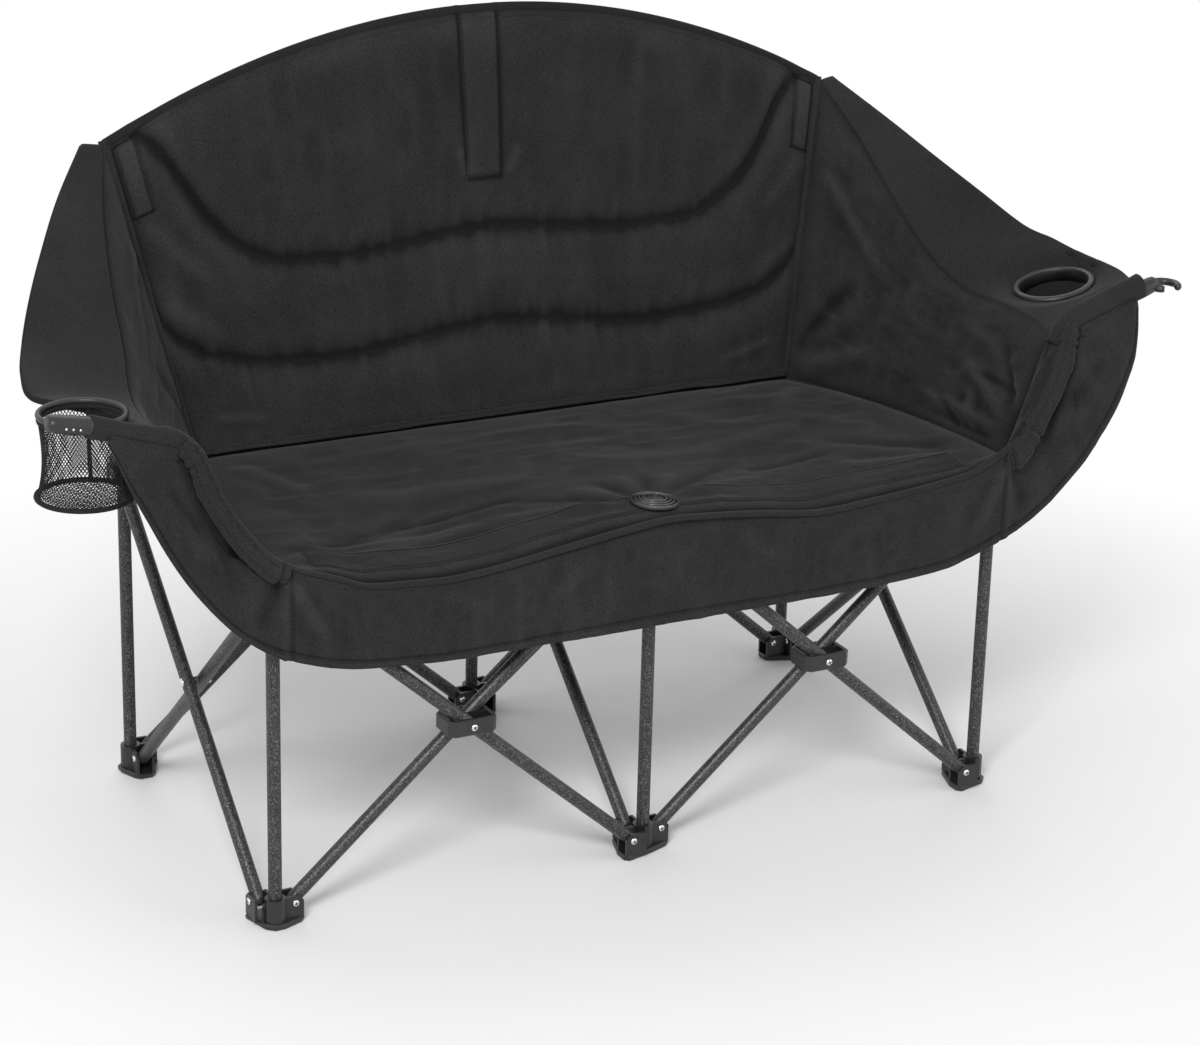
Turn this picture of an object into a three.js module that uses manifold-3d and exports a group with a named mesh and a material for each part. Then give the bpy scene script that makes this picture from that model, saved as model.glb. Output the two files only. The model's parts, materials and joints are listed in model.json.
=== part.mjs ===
// Folding camping loveseat: a double quad-fold tube frame with a padded cloth shell.
// Millimetres, +Z up, +Y to the back, +X to the right for someone who looks at its front.
// The origin is the middle of the front middle foot's base, on the floor.
import * as THREE from 'three';
import { mergeVertices } from 'three/addons/utils/BufferGeometryUtils.js';
import Module from 'manifold-3d';

const wasm = await Module();
wasm.setup();

// Driving sizes of the open frame
const bay = 480; // from one post to the next, across
const depth = 480; // from the front posts to the rear poles
const lowPivot = 25; // height of the lower bar pivots
const highPivot = 403; // height of the upper bar pivots
const cornerPoleTop = 788;
const middlePoleTop = 913;
const postTop = 385; // the front posts end under their upper brackets
const topTubeLow = 130; // the sliding tube reaches down to here inside its post

// Round tube, bars and pins
const tubeRadius = 8;
const tubeWall = 1.2;
const tubeSides = 12;
const slideGap = 0.3; // between a sliding or seated piece and its bore
const topTubeRadius = tubeRadius - tubeWall - slideGap;
const barWall = 1;
const barSides = 8;
const plugLength = 2.5; // solid stretch between a bar's pivot and its hollow
const pivotOffset = 24; // from a post's axis to a bar's pivot
const behind = 8; // plane of the bars that lie behind or right of the post's axis
const ahead = -11; // plane of the bars that lie ahead or left of it
const pinRadius = 2.7;
const pinHoleRadius = 3.2;
const pinSides = 6;
const weld = 1e-4; // corners closer than this are one corner
const overrun = 5; // how far a cut runs past the faces it opens

// Moulded brackets
const earThick = 3.5;
const earGap = 0.4; // between a bar and the ear beside it
const earReach = 10; // past the pivot, outward
const earRise = 9; // past the pivot, away from the plate
const earStart = 6; // from the post's axis
const earCorner = 6;
const plateMargin = 2;
const plateBevel = 1.5;
const footPlate = 7;
const topPlate = 6;
const topPlateFace = 19; // from the upper pivots to the plate's top
const bossRadius = 12.5;
const bossRise = 12; // past the pivot, away from the plate
const bossRim = 4; // plate around the boss
const postSeat = 1.3; // foot plate left under the post

// Crossing blocks
const hubLength = 62;
const hubHeight = 20;
const hubSlot = 50;
const hubWall = 5;
const hubChamfer = 7;
const rivetHead = 5.5;
const rivetHeadThick = 2;
const spacerRadius = 6;

// Arm tubes
const armPivotOffset = 32; // from the corner post's axis
const armSlotStart = 14;
const knotOut = 98; // from the corner post's axis to the bend
const knotX = bay + knotOut;
const knotZ = 594;
const armReach = 210; // from the corner post's axis to the tube's end
const armEndX = bay + armReach;
const armEndZ = 631;
const bendShare = 0.2; // how much of each leg the bend takes up
const armSides = 10;
const armSteps = 10; // stretches along the tube
const sleeveThick = 1.5; // cloth sleeve on the arm tube
const sleeveHem = 14; // the sleeve's stitched hem below the tube

// Cloth shell
const cornerOut = 15; // from a corner pole's axis to the back's top corner
const cornerX = bay + cornerOut;
const backAbovePole = 30; // from a corner pole's end to the back's corner
const cornerZ = cornerPoleTop + backAbovePole;
const crownAbovePole = 35;
const crownZ = middlePoleTop + crownAbovePole; // middle of the back's top edge
const seatZ = 433; // middle plane of the seat over the brackets
const seatBackIn = 63; // rear corner of the seat, from the corner pole inward and forward
const seatBackAhead = 78;
const seatBackX = bay - seatBackIn;
const seatBackY = depth - seatBackAhead;
const seatFrontOut = 25; // from a corner post's axis to the seat's front corner
const seatFrontX = bay + seatFrontOut;
const seatFrontY = -33;
const seamStartOut = 82; // from the corner post's axis to the inner seam's front end
const seamStartX = bay + seamStartOut;
const armrestZ = 584; // inner seam of the armrest
const armrestOut = 24; // the armrest's edge past the arm tube's end
const armOuterX = armEndX + armrestOut;
const armOuterZ = 616;
const hemZ = 310; // lower edge of the front flap
const baySag = 22; // the seat's dip between two posts
const cornerLift = 22; // how far the seat's front corners are drawn up
const padHalf = 12;
const sidePadHalf = 9;
const armrestHalf = 4;
const flapHalf = 2.5;
const channelHalf = 5; // half thickness left in a sewn channel
const seam = 0.4; // from a pad's edge to the seam line it shares
const clothGap = 0.35; // between cloth and what it lies on
const flapGap = 3; // between the seat's front edge and the flap
const backHollow = 12; // the back's middle lies this much behind its side edges
const seatTaper = 2.5; // the seat narrows faster towards its back
const dipFade = 1.5;
const liftPower = 8; // the lift gathers at the corners
const flapTurnShare = 0.3; // of its way out, where the flap has come up to the arm

// Form of the sewn pieces, as shares
const seatEdgeShare = 0.14; // of a pad's width, where its rounding ends
const sideEdgeShare = 0.16;
const armrestEdgeShare = 0.2;
const flapEdgeShare = 0.1;
const backEdgeShare = 0.06;
const channelShare = 0.25; // of the way to the next channel
const lowChannelShares = [0.47, 0.235, 0.21, 0.235]; // channel heights, from the side to the middle
const highChannelShares = [0.95, 0.51, 0.455, 0.46];
const backRowShares = [0, 0.08, 0.25, 0.5, 0.75, 1, 1.25, 1.5, 1.75, 2, 2.25, 2.6, 2.9, 3];
const sideLengthShares = [0, 0.05, 0.12, 0.24, 0.38, 0.52, 0.66, 0.8, 0.92, 1];
const sideHeightShares = [0, 0.08, 0.2, 0.4, 0.6, 0.8, 0.92, 1];
const armrestWidthShares = [0, 0.12, 0.35, 0.65, 0.88, 1];
const flapHeightShares = [0, 0.1, 0.35, 0.65, 0.9, 1];
const padColumns = 16; // columns of corners across the seat and the back
const flapColumns = 36;
// Inner seam of an armrest, from knot to corner: shares of the depth, of the way in, of the rise.
const innerSeamShares = [
  [0, 0, 0], [0.1, -0.17, 0.005], [0.25, -0.24, 0.01], [0.42, -0.07, 0.03],
  [0.56, 0.18, 0.175], [0.71, 0.36, 0.42], [0.855, 0.61, 0.72], [0.985, 0.96, 0.98],
];
// Outer edge of an armrest, from arm end to corner: shares of the depth, of the way out, of the rise.
const outerEdgeShares = [
  [0, 0.9, 0.06], [0.11, 0.985, 0.01], [0.23, 1, 0.05], [0.36, 0.93, 0.115],
  [0.49, 0.83, 0.19], [0.62, 0.69, 0.36], [0.745, 0.53, 0.545], [0.87, 0.35, 0.75], [1, 0.12, 0.985],
];
// Lower edge of the front flap, from its middle: shares of the way out and of the rise to the arm.
const hemShares = [
  [0, 0], [0.3, 0.01], [0.5, 0.025], [0.62, 0.055], [0.7, 0.115], [0.785, 0.22],
  [0.86, 0.37], [0.92, 0.575], [0.953, 0.77], [0.975, 0.9], [1, 0.97],
];
// The flap's top edge beside the seat: shares of the way out and of the rise to the arm's end.
const flapRiseShares = [[0, 0], [0.11, 0.17], [0.28, 0.46], [0.37, 0.69], [0.56, 0.88], [1, 1]];

// Cup holder, bottle ring, glass holder and caps
const clampRadius = 12;
const clampLength = 58;
const clampOverlap = 20; // how far the clamp goes over the arm tube
const ringRadius = 47;
const ringWire = 3.5;
const ringSides = 24;
const cupIn = 18; // from the arm tube's end to the cup's middle
const cupX = cupIn - armEndX;
const cupRoom = 2; // from the clamp to the middle of the cup's rim
const cupY = clampRadius + cupRoom + ringRadius;
const cupTop = 622;
const cupDepth = 92;
const cupWall = 1.6;
const cupFlare = 3; // the basket is this much wider at its foot
const bottleIn = 33; // from the arm tube's end to the ring's middle
const bottleX = armEndX - bottleIn;
const bottleY = 142;
const bottleZ = 603;
const bottleRadius = 44;
const bottleRim = 9;
const bottleRimThick = 5;
const bottleTilt = Math.PI / 14; // the ring lies in the slope of the armrest
const pocketDepth = 140;
const pocketWall = 1.8;
const glassRadius = 14;
const glassRim = 8;
const glassThick = 8;
const glassGap = 9; // half width of the opening for the stem
const capRadius = 21;
const capThick = 5;
const capStem = 5.5;
const poleCapRise = 7;

const mirrored = [-1, 1];
const rise = highPivot - lowPivot;
const crossingZ = (lowPivot + highPivot) / 2;
const capSeatZ = seatZ + padHalf / 3;
const flapY = seatFrontY - flapHalf - flapGap;
const flapArmY = -tubeRadius - sleeveThick - flapHalf - seam - seam;

// Materials, one call for each colour family
const paint = () => new THREE.MeshStandardMaterial({ color: 0x3d3e40, roughness: 0.45, metalness: 0.6 });
const plastic = () => new THREE.MeshStandardMaterial({ color: 0x1c1c1e, roughness: 0.5, metalness: 0 });
const cloth = () => new THREE.MeshStandardMaterial({ color: 0x232325, roughness: 0.9, metalness: 0 });
const mesh = () => new THREE.MeshStandardMaterial({ color: 0x161617, roughness: 0.85, metalness: 0 });

const loveseat = new THREE.Group();

// A closed geometry as a solid that can be joined and cut.
function solid(geometry) {
  const bare = geometry.clone();
  bare.deleteAttribute('normal');
  bare.deleteAttribute('uv');
  const merged = mergeVertices(bare, weld);
  const vertProperties = new Float32Array(merged.attributes.position.array);
  const triVerts = new Uint32Array(merged.index.array);
  return new wasm.Manifold(new wasm.Mesh({ numProp: 3, vertProperties, triVerts }));
}

// The solid's triangles as a geometry again.
function geometryOf(body) {
  const { vertProperties, triVerts } = body.getMesh();
  const geometry = new THREE.BufferGeometry();
  geometry.setAttribute('position', new THREE.BufferAttribute(new Float32Array(vertProperties), 3));
  geometry.setIndex(new THREE.BufferAttribute(new Uint32Array(triVerts), 1));
  geometry.computeVertexNormals();
  return geometry;
}

function joined(bodies) {
  return bodies.reduce((all, body) => all.add(body));
}

function add(name, body, material, parent = loveseat) {
  const piece = new THREE.Mesh(geometryOf(body), material);
  piece.name = name;
  parent.add(piece);
  return piece;
}

// A round rod along an axis ('x', 'y' or 'z'), from one value to another, centred on a point.
function rod(axis, radius, from, to, centre = [0, 0, 0], sides = tubeSides) {
  const geometry = new THREE.CylinderGeometry(radius, radius, to - from, sides);
  geometry.rotateY(Math.PI / sides);
  geometry.translate(0, (from + to) / 2, 0);
  if (axis === 'z') geometry.rotateX(Math.PI / 2);
  if (axis === 'x') geometry.rotateZ(-Math.PI / 2);
  geometry.translate(...centre);
  return solid(geometry);
}

function box(low, high) {
  const size = high.map((value, i) => value - low[i]);
  const geometry = new THREE.BoxGeometry(...size);
  geometry.translate(...low.map((value, i) => (value + high[i]) / 2));
  return solid(geometry);
}

// A prism over a flat outline, from one height to another, with its long edges bevelled.
function prism(points, low, high, bevel = 0) {
  const shape = new THREE.Shape(points.map(([x, y]) => new THREE.Vector2(x, y)));
  const geometry = new THREE.ExtrudeGeometry(shape, {
    depth: high - low - bevel - bevel,
    bevelEnabled: bevel > 0,
    bevelThickness: bevel,
    bevelSize: bevel,
    bevelOffset: -bevel,
    bevelSegments: 1,
  });
  geometry.translate(0, 0, low + bevel);
  return solid(geometry);
}

// The smallest convex outline round a set of points.
function hull(points) {
  const sorted = [...points].sort((a, b) => a[0] - b[0] || a[1] - b[1]);
  const turn = (o, a, b) => (a[0] - o[0]) * (b[1] - o[1]) - (a[1] - o[1]) * (b[0] - o[0]);
  const chain = (list) => {
    const out = [];
    for (const p of list) {
      while (out.length > 1 && turn(out[out.length - 2], out[out.length - 1], p) <= 0) out.pop();
      out.push(p);
    }
    out.pop();
    return out;
  };
  return [...chain(sorted), ...chain(sorted.reverse())];
}

// Open round tube along Z.
function tube(radius, wall, low, high) {
  const outer = rod('z', radius, low, high);
  return outer.subtract(rod('z', radius - wall, low - overrun, high + overrun));
}

// One scissor bar: rounded ends, hollow between them, with a hole at each pivot and at the crossing.
// It lies along +X from its lower pivot, and its holes run along Y.
function barBody(barLength, rivetSide = 0) {
  const radius = tubeRadius;
  const shoulder = radius * Math.SQRT1_2;
  const profile = [
    [0, -radius], [shoulder, -shoulder], [radius, 0],
    [radius, barLength], [shoulder, barLength + shoulder], [0, barLength + radius],
  ].map(([r, along]) => new THREE.Vector2(r, along));
  const lathe = new THREE.LatheGeometry(profile, barSides);
  lathe.rotateY(Math.PI / barSides);
  lathe.rotateZ(-Math.PI / 2);
  let body = solid(lathe);
  body = body.subtract(rod('x', radius - barWall, plugLength, barLength - plugLength, [0, 0, 0], barSides));
  const across = radius + overrun;
  const holes = rivetSide === 0 ? [0, barLength / 2, barLength] : [0, barLength];
  for (const at of holes) {
    body = body.subtract(rod('y', pinHoleRadius, -across, across, [at, 0, 0], pinSides));
  }
  return rivetSide === 0 ? body : body.add(crossingRivet(barLength, rivetSide));
}

// Rivet of the crossings that have no block: a spacer, a pin through the other bar, and its head.
function crossingRivet(barLength, side) {
  const spacing = behind - ahead;
  const near = tubeRadius - barWall;
  const between = spacing - tubeRadius - slideGap;
  const far = spacing + tubeRadius + slideGap;
  const middle = [barLength / 2, 0, 0];
  const along = (radius, from, to) => (side > 0
    ? rod('y', radius, from, to, middle, pinSides)
    : rod('y', radius, -to, -from, middle, pinSides));
  return joined([
    along(spacerRadius, near, between),
    along(pinRadius, near, far + rivetHeadThick),
    along(rivetHead, far, far + rivetHeadThick),
  ]);
}

// A bar stands on its lower pivot and leans towards +X, -X or +Y, or -Y.
function addBar(name, foot, direction, plane, rivetSide = 0) {
  const [dx, dy] = direction;
  const run = (dx !== 0 ? bay : depth) - pivotOffset - pivotOffset;
  const lean = new THREE.Vector3(dx * run, dy * run, rise).normalize();
  const side = new THREE.Vector3(Math.abs(dy), Math.abs(dx), 0);
  const third = new THREE.Vector3().crossVectors(lean, side);
  const piece = add(name, barBody(Math.hypot(run, rise), rivetSide), paint());
  piece.quaternion.setFromRotationMatrix(new THREE.Matrix4().makeBasis(lean, side, third));
  const x = foot[0] + dx * pivotOffset + Math.abs(dy) * plane;
  const y = foot[1] + dy * pivotOffset + Math.abs(dx) * plane;
  piece.position.set(x, y, lowPivot);
  return piece;
}

// Two ears and the pin between them, for one bar. u runs outward along the bar's direction,
// and towards is +1 where the plate lies below the pivots and -1 where it lies above.
function ears({ direction, plane, offset = pivotOffset }, plateInner, towards) {
  const [dx, dy] = direction;
  const rim = offset + earReach;
  const high = earRise * towards;
  const outline = [
    [earStart, plateInner], [rim, plateInner], [rim, high - earCorner * towards],
    [rim - earCorner, high], [earStart, high],
  ];
  const turned = towards > 0 ? outline : [...outline].reverse();
  const parts = mirrored.map((side) => {
    const inner = tubeRadius + earGap;
    const low = side > 0 ? plane + inner : plane - inner - earThick;
    const shape = new THREE.Shape(turned.map(([u, z]) => new THREE.Vector2(u, z)));
    const geometry = new THREE.ExtrudeGeometry(shape, { depth: earThick, bevelEnabled: false });
    return solid(placeEar(geometry, dx, dy, low));
  });
  const reach = tubeRadius + earGap + earThick;
  const axis = dx !== 0 ? 'y' : 'x';
  const at = dx !== 0 ? [dx * offset, 0, 0] : [0, dy * offset, 0];
  parts.push(rod(axis, pinRadius, plane - reach, plane + reach, at, pinSides));
  return joined(parts);
}

// Turns an ear from its drawing plane (u, z) to stand beside its bar.
function placeEar(geometry, dx, dy, low) {
  const across = dx !== 0 ? new THREE.Vector3(0, 1, 0) : new THREE.Vector3(1, 0, 0);
  const outward = new THREE.Vector3(dx, dy, 0);
  const up = new THREE.Vector3(0, 0, 1);
  const flipped = new THREE.Vector3().crossVectors(outward, up).dot(across) < 0;
  const matrix = new THREE.Matrix4();
  if (flipped) {
    matrix.makeBasis(outward, up, across.clone().negate());
    matrix.setPosition(across.clone().multiplyScalar(low + earThick));
  } else {
    matrix.makeBasis(outward, up, across);
    matrix.setPosition(across.clone().multiplyScalar(low));
  }
  return geometry.applyMatrix4(matrix);
}

// Outline of a bracket's plate: the hull round its boss and all its ears.
function plateOutline(arms, grow = 0) {
  const half = tubeRadius + earGap + earThick + plateMargin + grow;
  const rim = bossRadius + bossRim + grow;
  const points = [];
  for (const share of shares(barSides).slice(1)) {
    const angle = share * Math.PI * 2 + Math.PI / barSides;
    points.push([Math.cos(angle) * rim, Math.sin(angle) * rim]);
  }
  for (const { direction: [dx, dy], plane, offset = pivotOffset } of arms) {
    const end = offset + earReach + plateMargin + grow;
    const corner = end - earCorner;
    for (const [u, w] of [[end, half - earCorner], [corner, half]]) {
      for (const side of mirrored) {
        const across = plane + side * w;
        points.push(dx !== 0 ? [dx * u, across] : [across, dy * u]);
      }
    }
  }
  return hull(points);
}

// A bracket, drawn with its pivots at height 0.
function bracket({ arms, plateFace, plateThick, towards, boreRadius, boreFrom, boreTo }) {
  const face = -plateFace * towards;
  const inner = face + plateThick * towards;
  const top = bossRise * towards;
  const low = Math.min(face, inner);
  const high = Math.max(face, inner);
  const parts = [prism(plateOutline(arms), low, high, plateBevel)];
  parts.push(rod('z', bossRadius, Math.min(face, top) + plateBevel, Math.max(face, top) - plateBevel));
  const sets = arms.map((held) => ears(held, inner - plateBevel * towards, towards));
  let body = joined([...parts, ...sets]);
  body = body.subtract(rod('z', boreRadius, boreFrom, boreTo));
  for (const { direction: [dx], notch = 0 } of arms) {
    if (notch > 0) body = body.subtract(armNotch(dx, notch));
  }
  return body;
}

// Slot through the plate that lets an arm tube pass up out of its bracket.
function armNotch(dx, start) {
  const half = tubeRadius + earGap;
  const end = armPivotOffset + earReach + plateMargin + overrun;
  const low = [Math.min(dx * start, dx * end), -half, earRise + slideGap];
  const high = [Math.max(dx * start, dx * end), half, topPlateFace + overrun];
  return box(low, high);
}

const seatBore = tubeRadius + slideGap;
const topTubeBore = topTubeRadius + slideGap;

function addFoot(name, [x, y], arms) {
  const body = bracket({
    arms,
    plateFace: lowPivot,
    plateThick: footPlate,
    towards: 1,
    boreRadius: seatBore,
    boreFrom: footPlate - postSeat - lowPivot,
    boreTo: bossRise + overrun,
  });
  add(name, body, plastic()).position.set(x, y, lowPivot);
}

function addFrontTop(name, [x, y], arms) {
  const body = bracket({
    arms,
    plateFace: topPlateFace,
    plateThick: topPlate,
    towards: -1,
    boreRadius: topTubeBore,
    boreFrom: -bossRise - overrun,
    boreTo: topPlateFace - topPlate,
  });
  add(name, body, plastic()).position.set(x, y, highPivot);
}

function addSlider(name, [x, y], arms) {
  const body = bracket({
    arms,
    plateFace: topPlateFace,
    plateThick: topPlate,
    towards: -1,
    boreRadius: seatBore,
    boreFrom: -bossRise - overrun,
    boreTo: topPlateFace + overrun,
  });
  add(name, body, plastic()).position.set(x, y, highPivot);
}

// The six post places
const places = {
  front_left: [-bay, 0],
  front_middle: [0, 0],
  front_right: [bay, 0],
  rear_left: [-bay, depth],
  rear_middle: [0, depth],
  rear_right: [bay, depth],
};

const left = [-1, 0];
const right = [1, 0];
const back = [0, 1];
const front = [0, -1];
const arm = (direction, plane, more = {}) => ({ direction, plane, ...more });

// Which bars each bracket holds: the way they lie from the post, and their plane.
const footArms = {
  front_left: [arm(right, behind), arm(back, ahead)],
  front_middle: [arm(left, ahead), arm(right, behind), arm(back, ahead)],
  front_right: [arm(left, ahead), arm(back, ahead)],
  rear_left: [arm(right, behind), arm(front, behind)],
  rear_middle: [arm(left, ahead), arm(right, behind), arm(front, behind)],
  rear_right: [arm(left, ahead), arm(front, behind)],
};
const armTubeSeat = { offset: armPivotOffset, notch: armSlotStart };
const topArms = {
  front_left: [arm(right, ahead), arm(back, behind), arm(left, 0, armTubeSeat)],
  front_middle: [arm(left, behind), arm(right, ahead), arm(back, behind)],
  front_right: [arm(left, behind), arm(back, behind), arm(right, 0, armTubeSeat)],
  rear_left: [arm(right, ahead), arm(front, ahead)],
  rear_middle: [arm(left, behind), arm(right, ahead), arm(front, ahead)],
  rear_right: [arm(left, behind), arm(front, ahead)],
};

function addPosts() {
  const seat = footPlate - postSeat + slideGap;
  for (const [place, [x, y]] of Object.entries(places)) {
    const isFront = place.startsWith('front');
    const middle = place.endsWith('middle');
    addFoot(`foot_${place}`, [x, y], footArms[place]);
    if (isFront) {
      add(`post_${place}`, tube(tubeRadius, tubeWall, seat, postTop), paint()).position.set(x, y, 0);
      addFrontTop(`top_bracket_${place}`, [x, y], topArms[place]);
      const reach = highPivot + topPlateFace - topPlate - slideGap;
      const inner = tube(topTubeRadius, tubeWall, topTubeLow, reach);
      add(`top_tube_${place}`, inner, paint()).position.set(x, y, 0);
    } else {
      const top = middle ? middlePoleTop : cornerPoleTop;
      add(`pole_${place}`, tube(tubeRadius, tubeWall, seat, top), paint()).position.set(x, y, 0);
      addSlider(`slide_bracket_${place}`, [x, y], topArms[place]);
      add(`pole_cap_${place}`, poleCap(), plastic()).position.set(x, y, top);
    }
  }
}

// Domed plug in a pole's open end, drawn from the pole's end face.
function poleCap() {
  const plug = topTubeRadius;
  const rim = tubeRadius;
  const profile = [
    [0, -poleCapRise * 2], [plug, -poleCapRise * 2], [plug, slideGap], [rim, slideGap],
    [rim, poleCapRise / 2], [rim / 2, poleCapRise], [0, poleCapRise],
  ].map(([r, z]) => new THREE.Vector2(r, z));
  const geometry = new THREE.LatheGeometry(profile, tubeSides);
  geometry.rotateY(Math.PI / tubeSides);
  geometry.rotateX(Math.PI / 2);
  return solid(geometry);
}

function addBars() {
  const p = places;
  for (const row of ['front', 'rear']) {
    addBar(`bar_${row}_left_a`, p[`${row}_left`], right, behind);
    addBar(`bar_${row}_left_b`, p[`${row}_middle`], left, ahead);
    addBar(`bar_${row}_right_a`, p[`${row}_middle`], right, behind);
    addBar(`bar_${row}_right_b`, p[`${row}_right`], left, ahead);
  }
  for (const column of ['left', 'middle', 'right']) {
    addBar(`bar_side_${column}_c`, p[`front_${column}`], back, ahead, 1);
    addBar(`bar_side_${column}_d`, p[`rear_${column}`], front, behind);
  }
}

// Crossing block: a chamfered block with one slot for each bar and the pin they share.
function hubBody() {
  const outer = hubWall + earGap + tubeRadius;
  const low = ahead - outer;
  const high = behind + outer;
  const half = hubLength / 2;
  const outline = [
    [-half + hubChamfer, low], [half - hubChamfer, low], [half, low + hubChamfer],
    [half, high - hubChamfer], [half - hubChamfer, high], [-half + hubChamfer, high],
    [-half, high - hubChamfer], [-half, low + hubChamfer],
  ];
  let body = prism(outline, -hubHeight / 2, hubHeight / 2, plateBevel);
  const slotHalf = tubeRadius + earGap;
  for (const plane of [ahead, behind]) {
    const from = [-hubSlot / 2, plane - slotHalf, -hubHeight];
    const to = [hubSlot / 2, plane + slotHalf, hubHeight];
    body = body.subtract(box(from, to));
  }
  return body.add(rod('y', pinRadius, low + hubWall / 2, high - hubWall / 2, [0, 0, 0], pinSides));
}

function addHubs() {
  for (const [row, y] of [['front', 0], ['rear', depth]]) {
    for (const [column, x] of [['left', -bay / 2], ['right', bay / 2]]) {
      add(`hub_${row}_${column}`, hubBody(), plastic()).position.set(x, y, crossingZ);
    }
  }
}

// The bent arm tube's middle line, on the side with the given sign.
function armLine(side) {
  const foot = new THREE.Vector3(side * (bay + armPivotOffset), 0, highPivot);
  const knot = new THREE.Vector3(side * knotX, 0, knotZ);
  const end = new THREE.Vector3(side * armEndX, 0, armEndZ);
  const line = new THREE.CurvePath();
  const before = knot.clone().lerp(foot, bendShare);
  const after = knot.clone().lerp(end, bendShare);
  line.add(new THREE.LineCurve3(foot, before));
  line.add(new THREE.QuadraticBezierCurve3(before, knot, after));
  line.add(new THREE.LineCurve3(after, end));
  return { line, foot, knot, end };
}

// A round bar along the arm's line, solid or hollow.
function armSweep(side, radius, hollow = 0) {
  const { line } = armLine(side);
  const points = shares(armSteps).map((share) => line.getPoint(share));
  const path = new THREE.CatmullRomCurve3(points, false, 'centripetal');
  const shape = new THREE.Shape(ring(radius, armSides));
  if (hollow > 0) shape.holes.push(new THREE.Path(ring(hollow, armSides)));
  return solid(new THREE.ExtrudeGeometry(shape, { steps: armSteps, extrudePath: path, bevelEnabled: false }));
}

function ring(radius, sides) {
  const points = [];
  for (let i = 0; i < sides; i += 1) {
    const angle = (i / sides) * Math.PI * 2;
    points.push(new THREE.Vector2(Math.cos(angle) * radius, Math.sin(angle) * radius));
  }
  return points;
}

function armTubeBody(side) {
  const { foot, knot } = armLine(side);
  const shell = armSweep(side, tubeRadius, tubeRadius - tubeWall);
  const plug = new THREE.SphereGeometry(tubeRadius, barSides, barSides / 2);
  plug.rotateX(Math.PI / 2);
  const lean = Math.atan2(knot.x - foot.x, knot.z - foot.z);
  plug.rotateY(lean);
  plug.translate(foot.x, 0, foot.z);
  const across = tubeRadius + overrun;
  const hole = rod('y', pinHoleRadius, -across, across, [foot.x, 0, foot.z], pinSides);
  return shell.add(solid(plug)).subtract(hole);
}

// A frame at the arm tube's end: its X runs on outward along the tube.
function armEndMatrix(side) {
  const { knot, end } = armLine(side);
  const out = end.clone().sub(knot).normalize();
  const across = new THREE.Vector3(0, 1, 0);
  const third = new THREE.Vector3().crossVectors(out, across);
  return new THREE.Matrix4().makeBasis(out, across, third).setPosition(end);
}

// Sleeve that plugs over an arm tube's end, closed at its outer side.
function endSleeve(side, length) {
  const outer = rod('x', clampRadius, -clampOverlap, length - clampOverlap, [0, 0, 0], tubeSides);
  const bore = rod('x', tubeRadius + slideGap, -clampOverlap - overrun, slideGap, [0, 0, 0], tubeSides);
  const geometry = geometryOf(outer.subtract(bore));
  return solid(geometry.applyMatrix4(armEndMatrix(side)));
}

// A flat ring or round wire ring, by its section's middle radius.
function hoop(radius, halfWide, halfHigh, centre) {
  const r = radius;
  const profile = [
    [r - halfWide, 0], [r, -halfHigh], [r + halfWide, 0], [r, halfHigh], [r - halfWide, 0],
  ].map(([x, z]) => new THREE.Vector2(x, z));
  const geometry = new THREE.LatheGeometry(profile, ringSides);
  geometry.rotateX(Math.PI / 2);
  geometry.translate(...centre);
  return solid(geometry);
}

// Open cup with a floor.
function cup(topRadius, footRadius, wall, low, high, [x, y]) {
  const profile = [
    [0, low], [footRadius, low], [topRadius, high], [topRadius - wall, high],
    [footRadius - wall, low + wall], [0, low + wall],
  ].map(([r, z]) => new THREE.Vector2(r, z));
  const geometry = new THREE.LatheGeometry(profile, ringSides);
  geometry.rotateX(Math.PI / 2);
  geometry.translate(x, y, 0);
  return solid(geometry);
}

function addArms() {
  add('arm_tube_left', armTubeBody(-1), paint());
  add('arm_tube_right', armTubeBody(1), paint());
  const top = cupTop + ringWire + slideGap;
  const rim = hoop(ringRadius, ringWire, ringWire, [cupX, cupY, top]);
  const lugX = cupX - clampOverlap / 2;
  const lug = rod('y', ringWire, clampRadius - ringWire, cupY - ringRadius, [lugX, 0, top]);
  add('cup_holder_clamp', endSleeve(-1, clampLength).add(rim).add(lug), plastic());
  const foot = cupTop - cupDepth;
  const basket = cup(ringRadius, ringRadius + cupFlare, cupWall, foot, cupTop, [cupX, cupY]);
  add('cup_basket', basket, mesh());
  add('glass_holder', glassHolderBody(), plastic());
}

// End sleeve with an open ring that holds a glass by its stem.
function glassHolderBody() {
  const centreX = armEndX + clampLength - clampOverlap - glassRim / 2;
  const outer = glassRadius + glassRim;
  const centre = [centreX, 0, 0];
  const low = armEndZ - glassThick / 2;
  const high = armEndZ + glassThick / 2;
  const sleeve = endSleeve(1, clampLength - glassRim / 2 - glassRadius);
  const plate = rod('z', outer, low, high, centre, ringSides);
  const bore = rod('z', glassRadius, low - clampRadius * 2, high + clampRadius * 2, centre, ringSides);
  const opening = box(
    [centreX - glassGap, -outer - overrun, low - clampRadius * 2],
    [centreX + glassGap, 0, high + clampRadius * 2],
  );
  return sleeve.add(plate).subtract(bore).subtract(opening);
}

function mix(a, b, share) {
  return a + (b - a) * share;
}

// A smooth curve through points, as a function of a share from 0 to 1.
function curveThrough(points) {
  const curve = new THREE.CatmullRomCurve3(points.map((p) => new THREE.Vector3(...p)), false, 'centripetal');
  return (share) => curve.getPoint(share);
}

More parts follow.
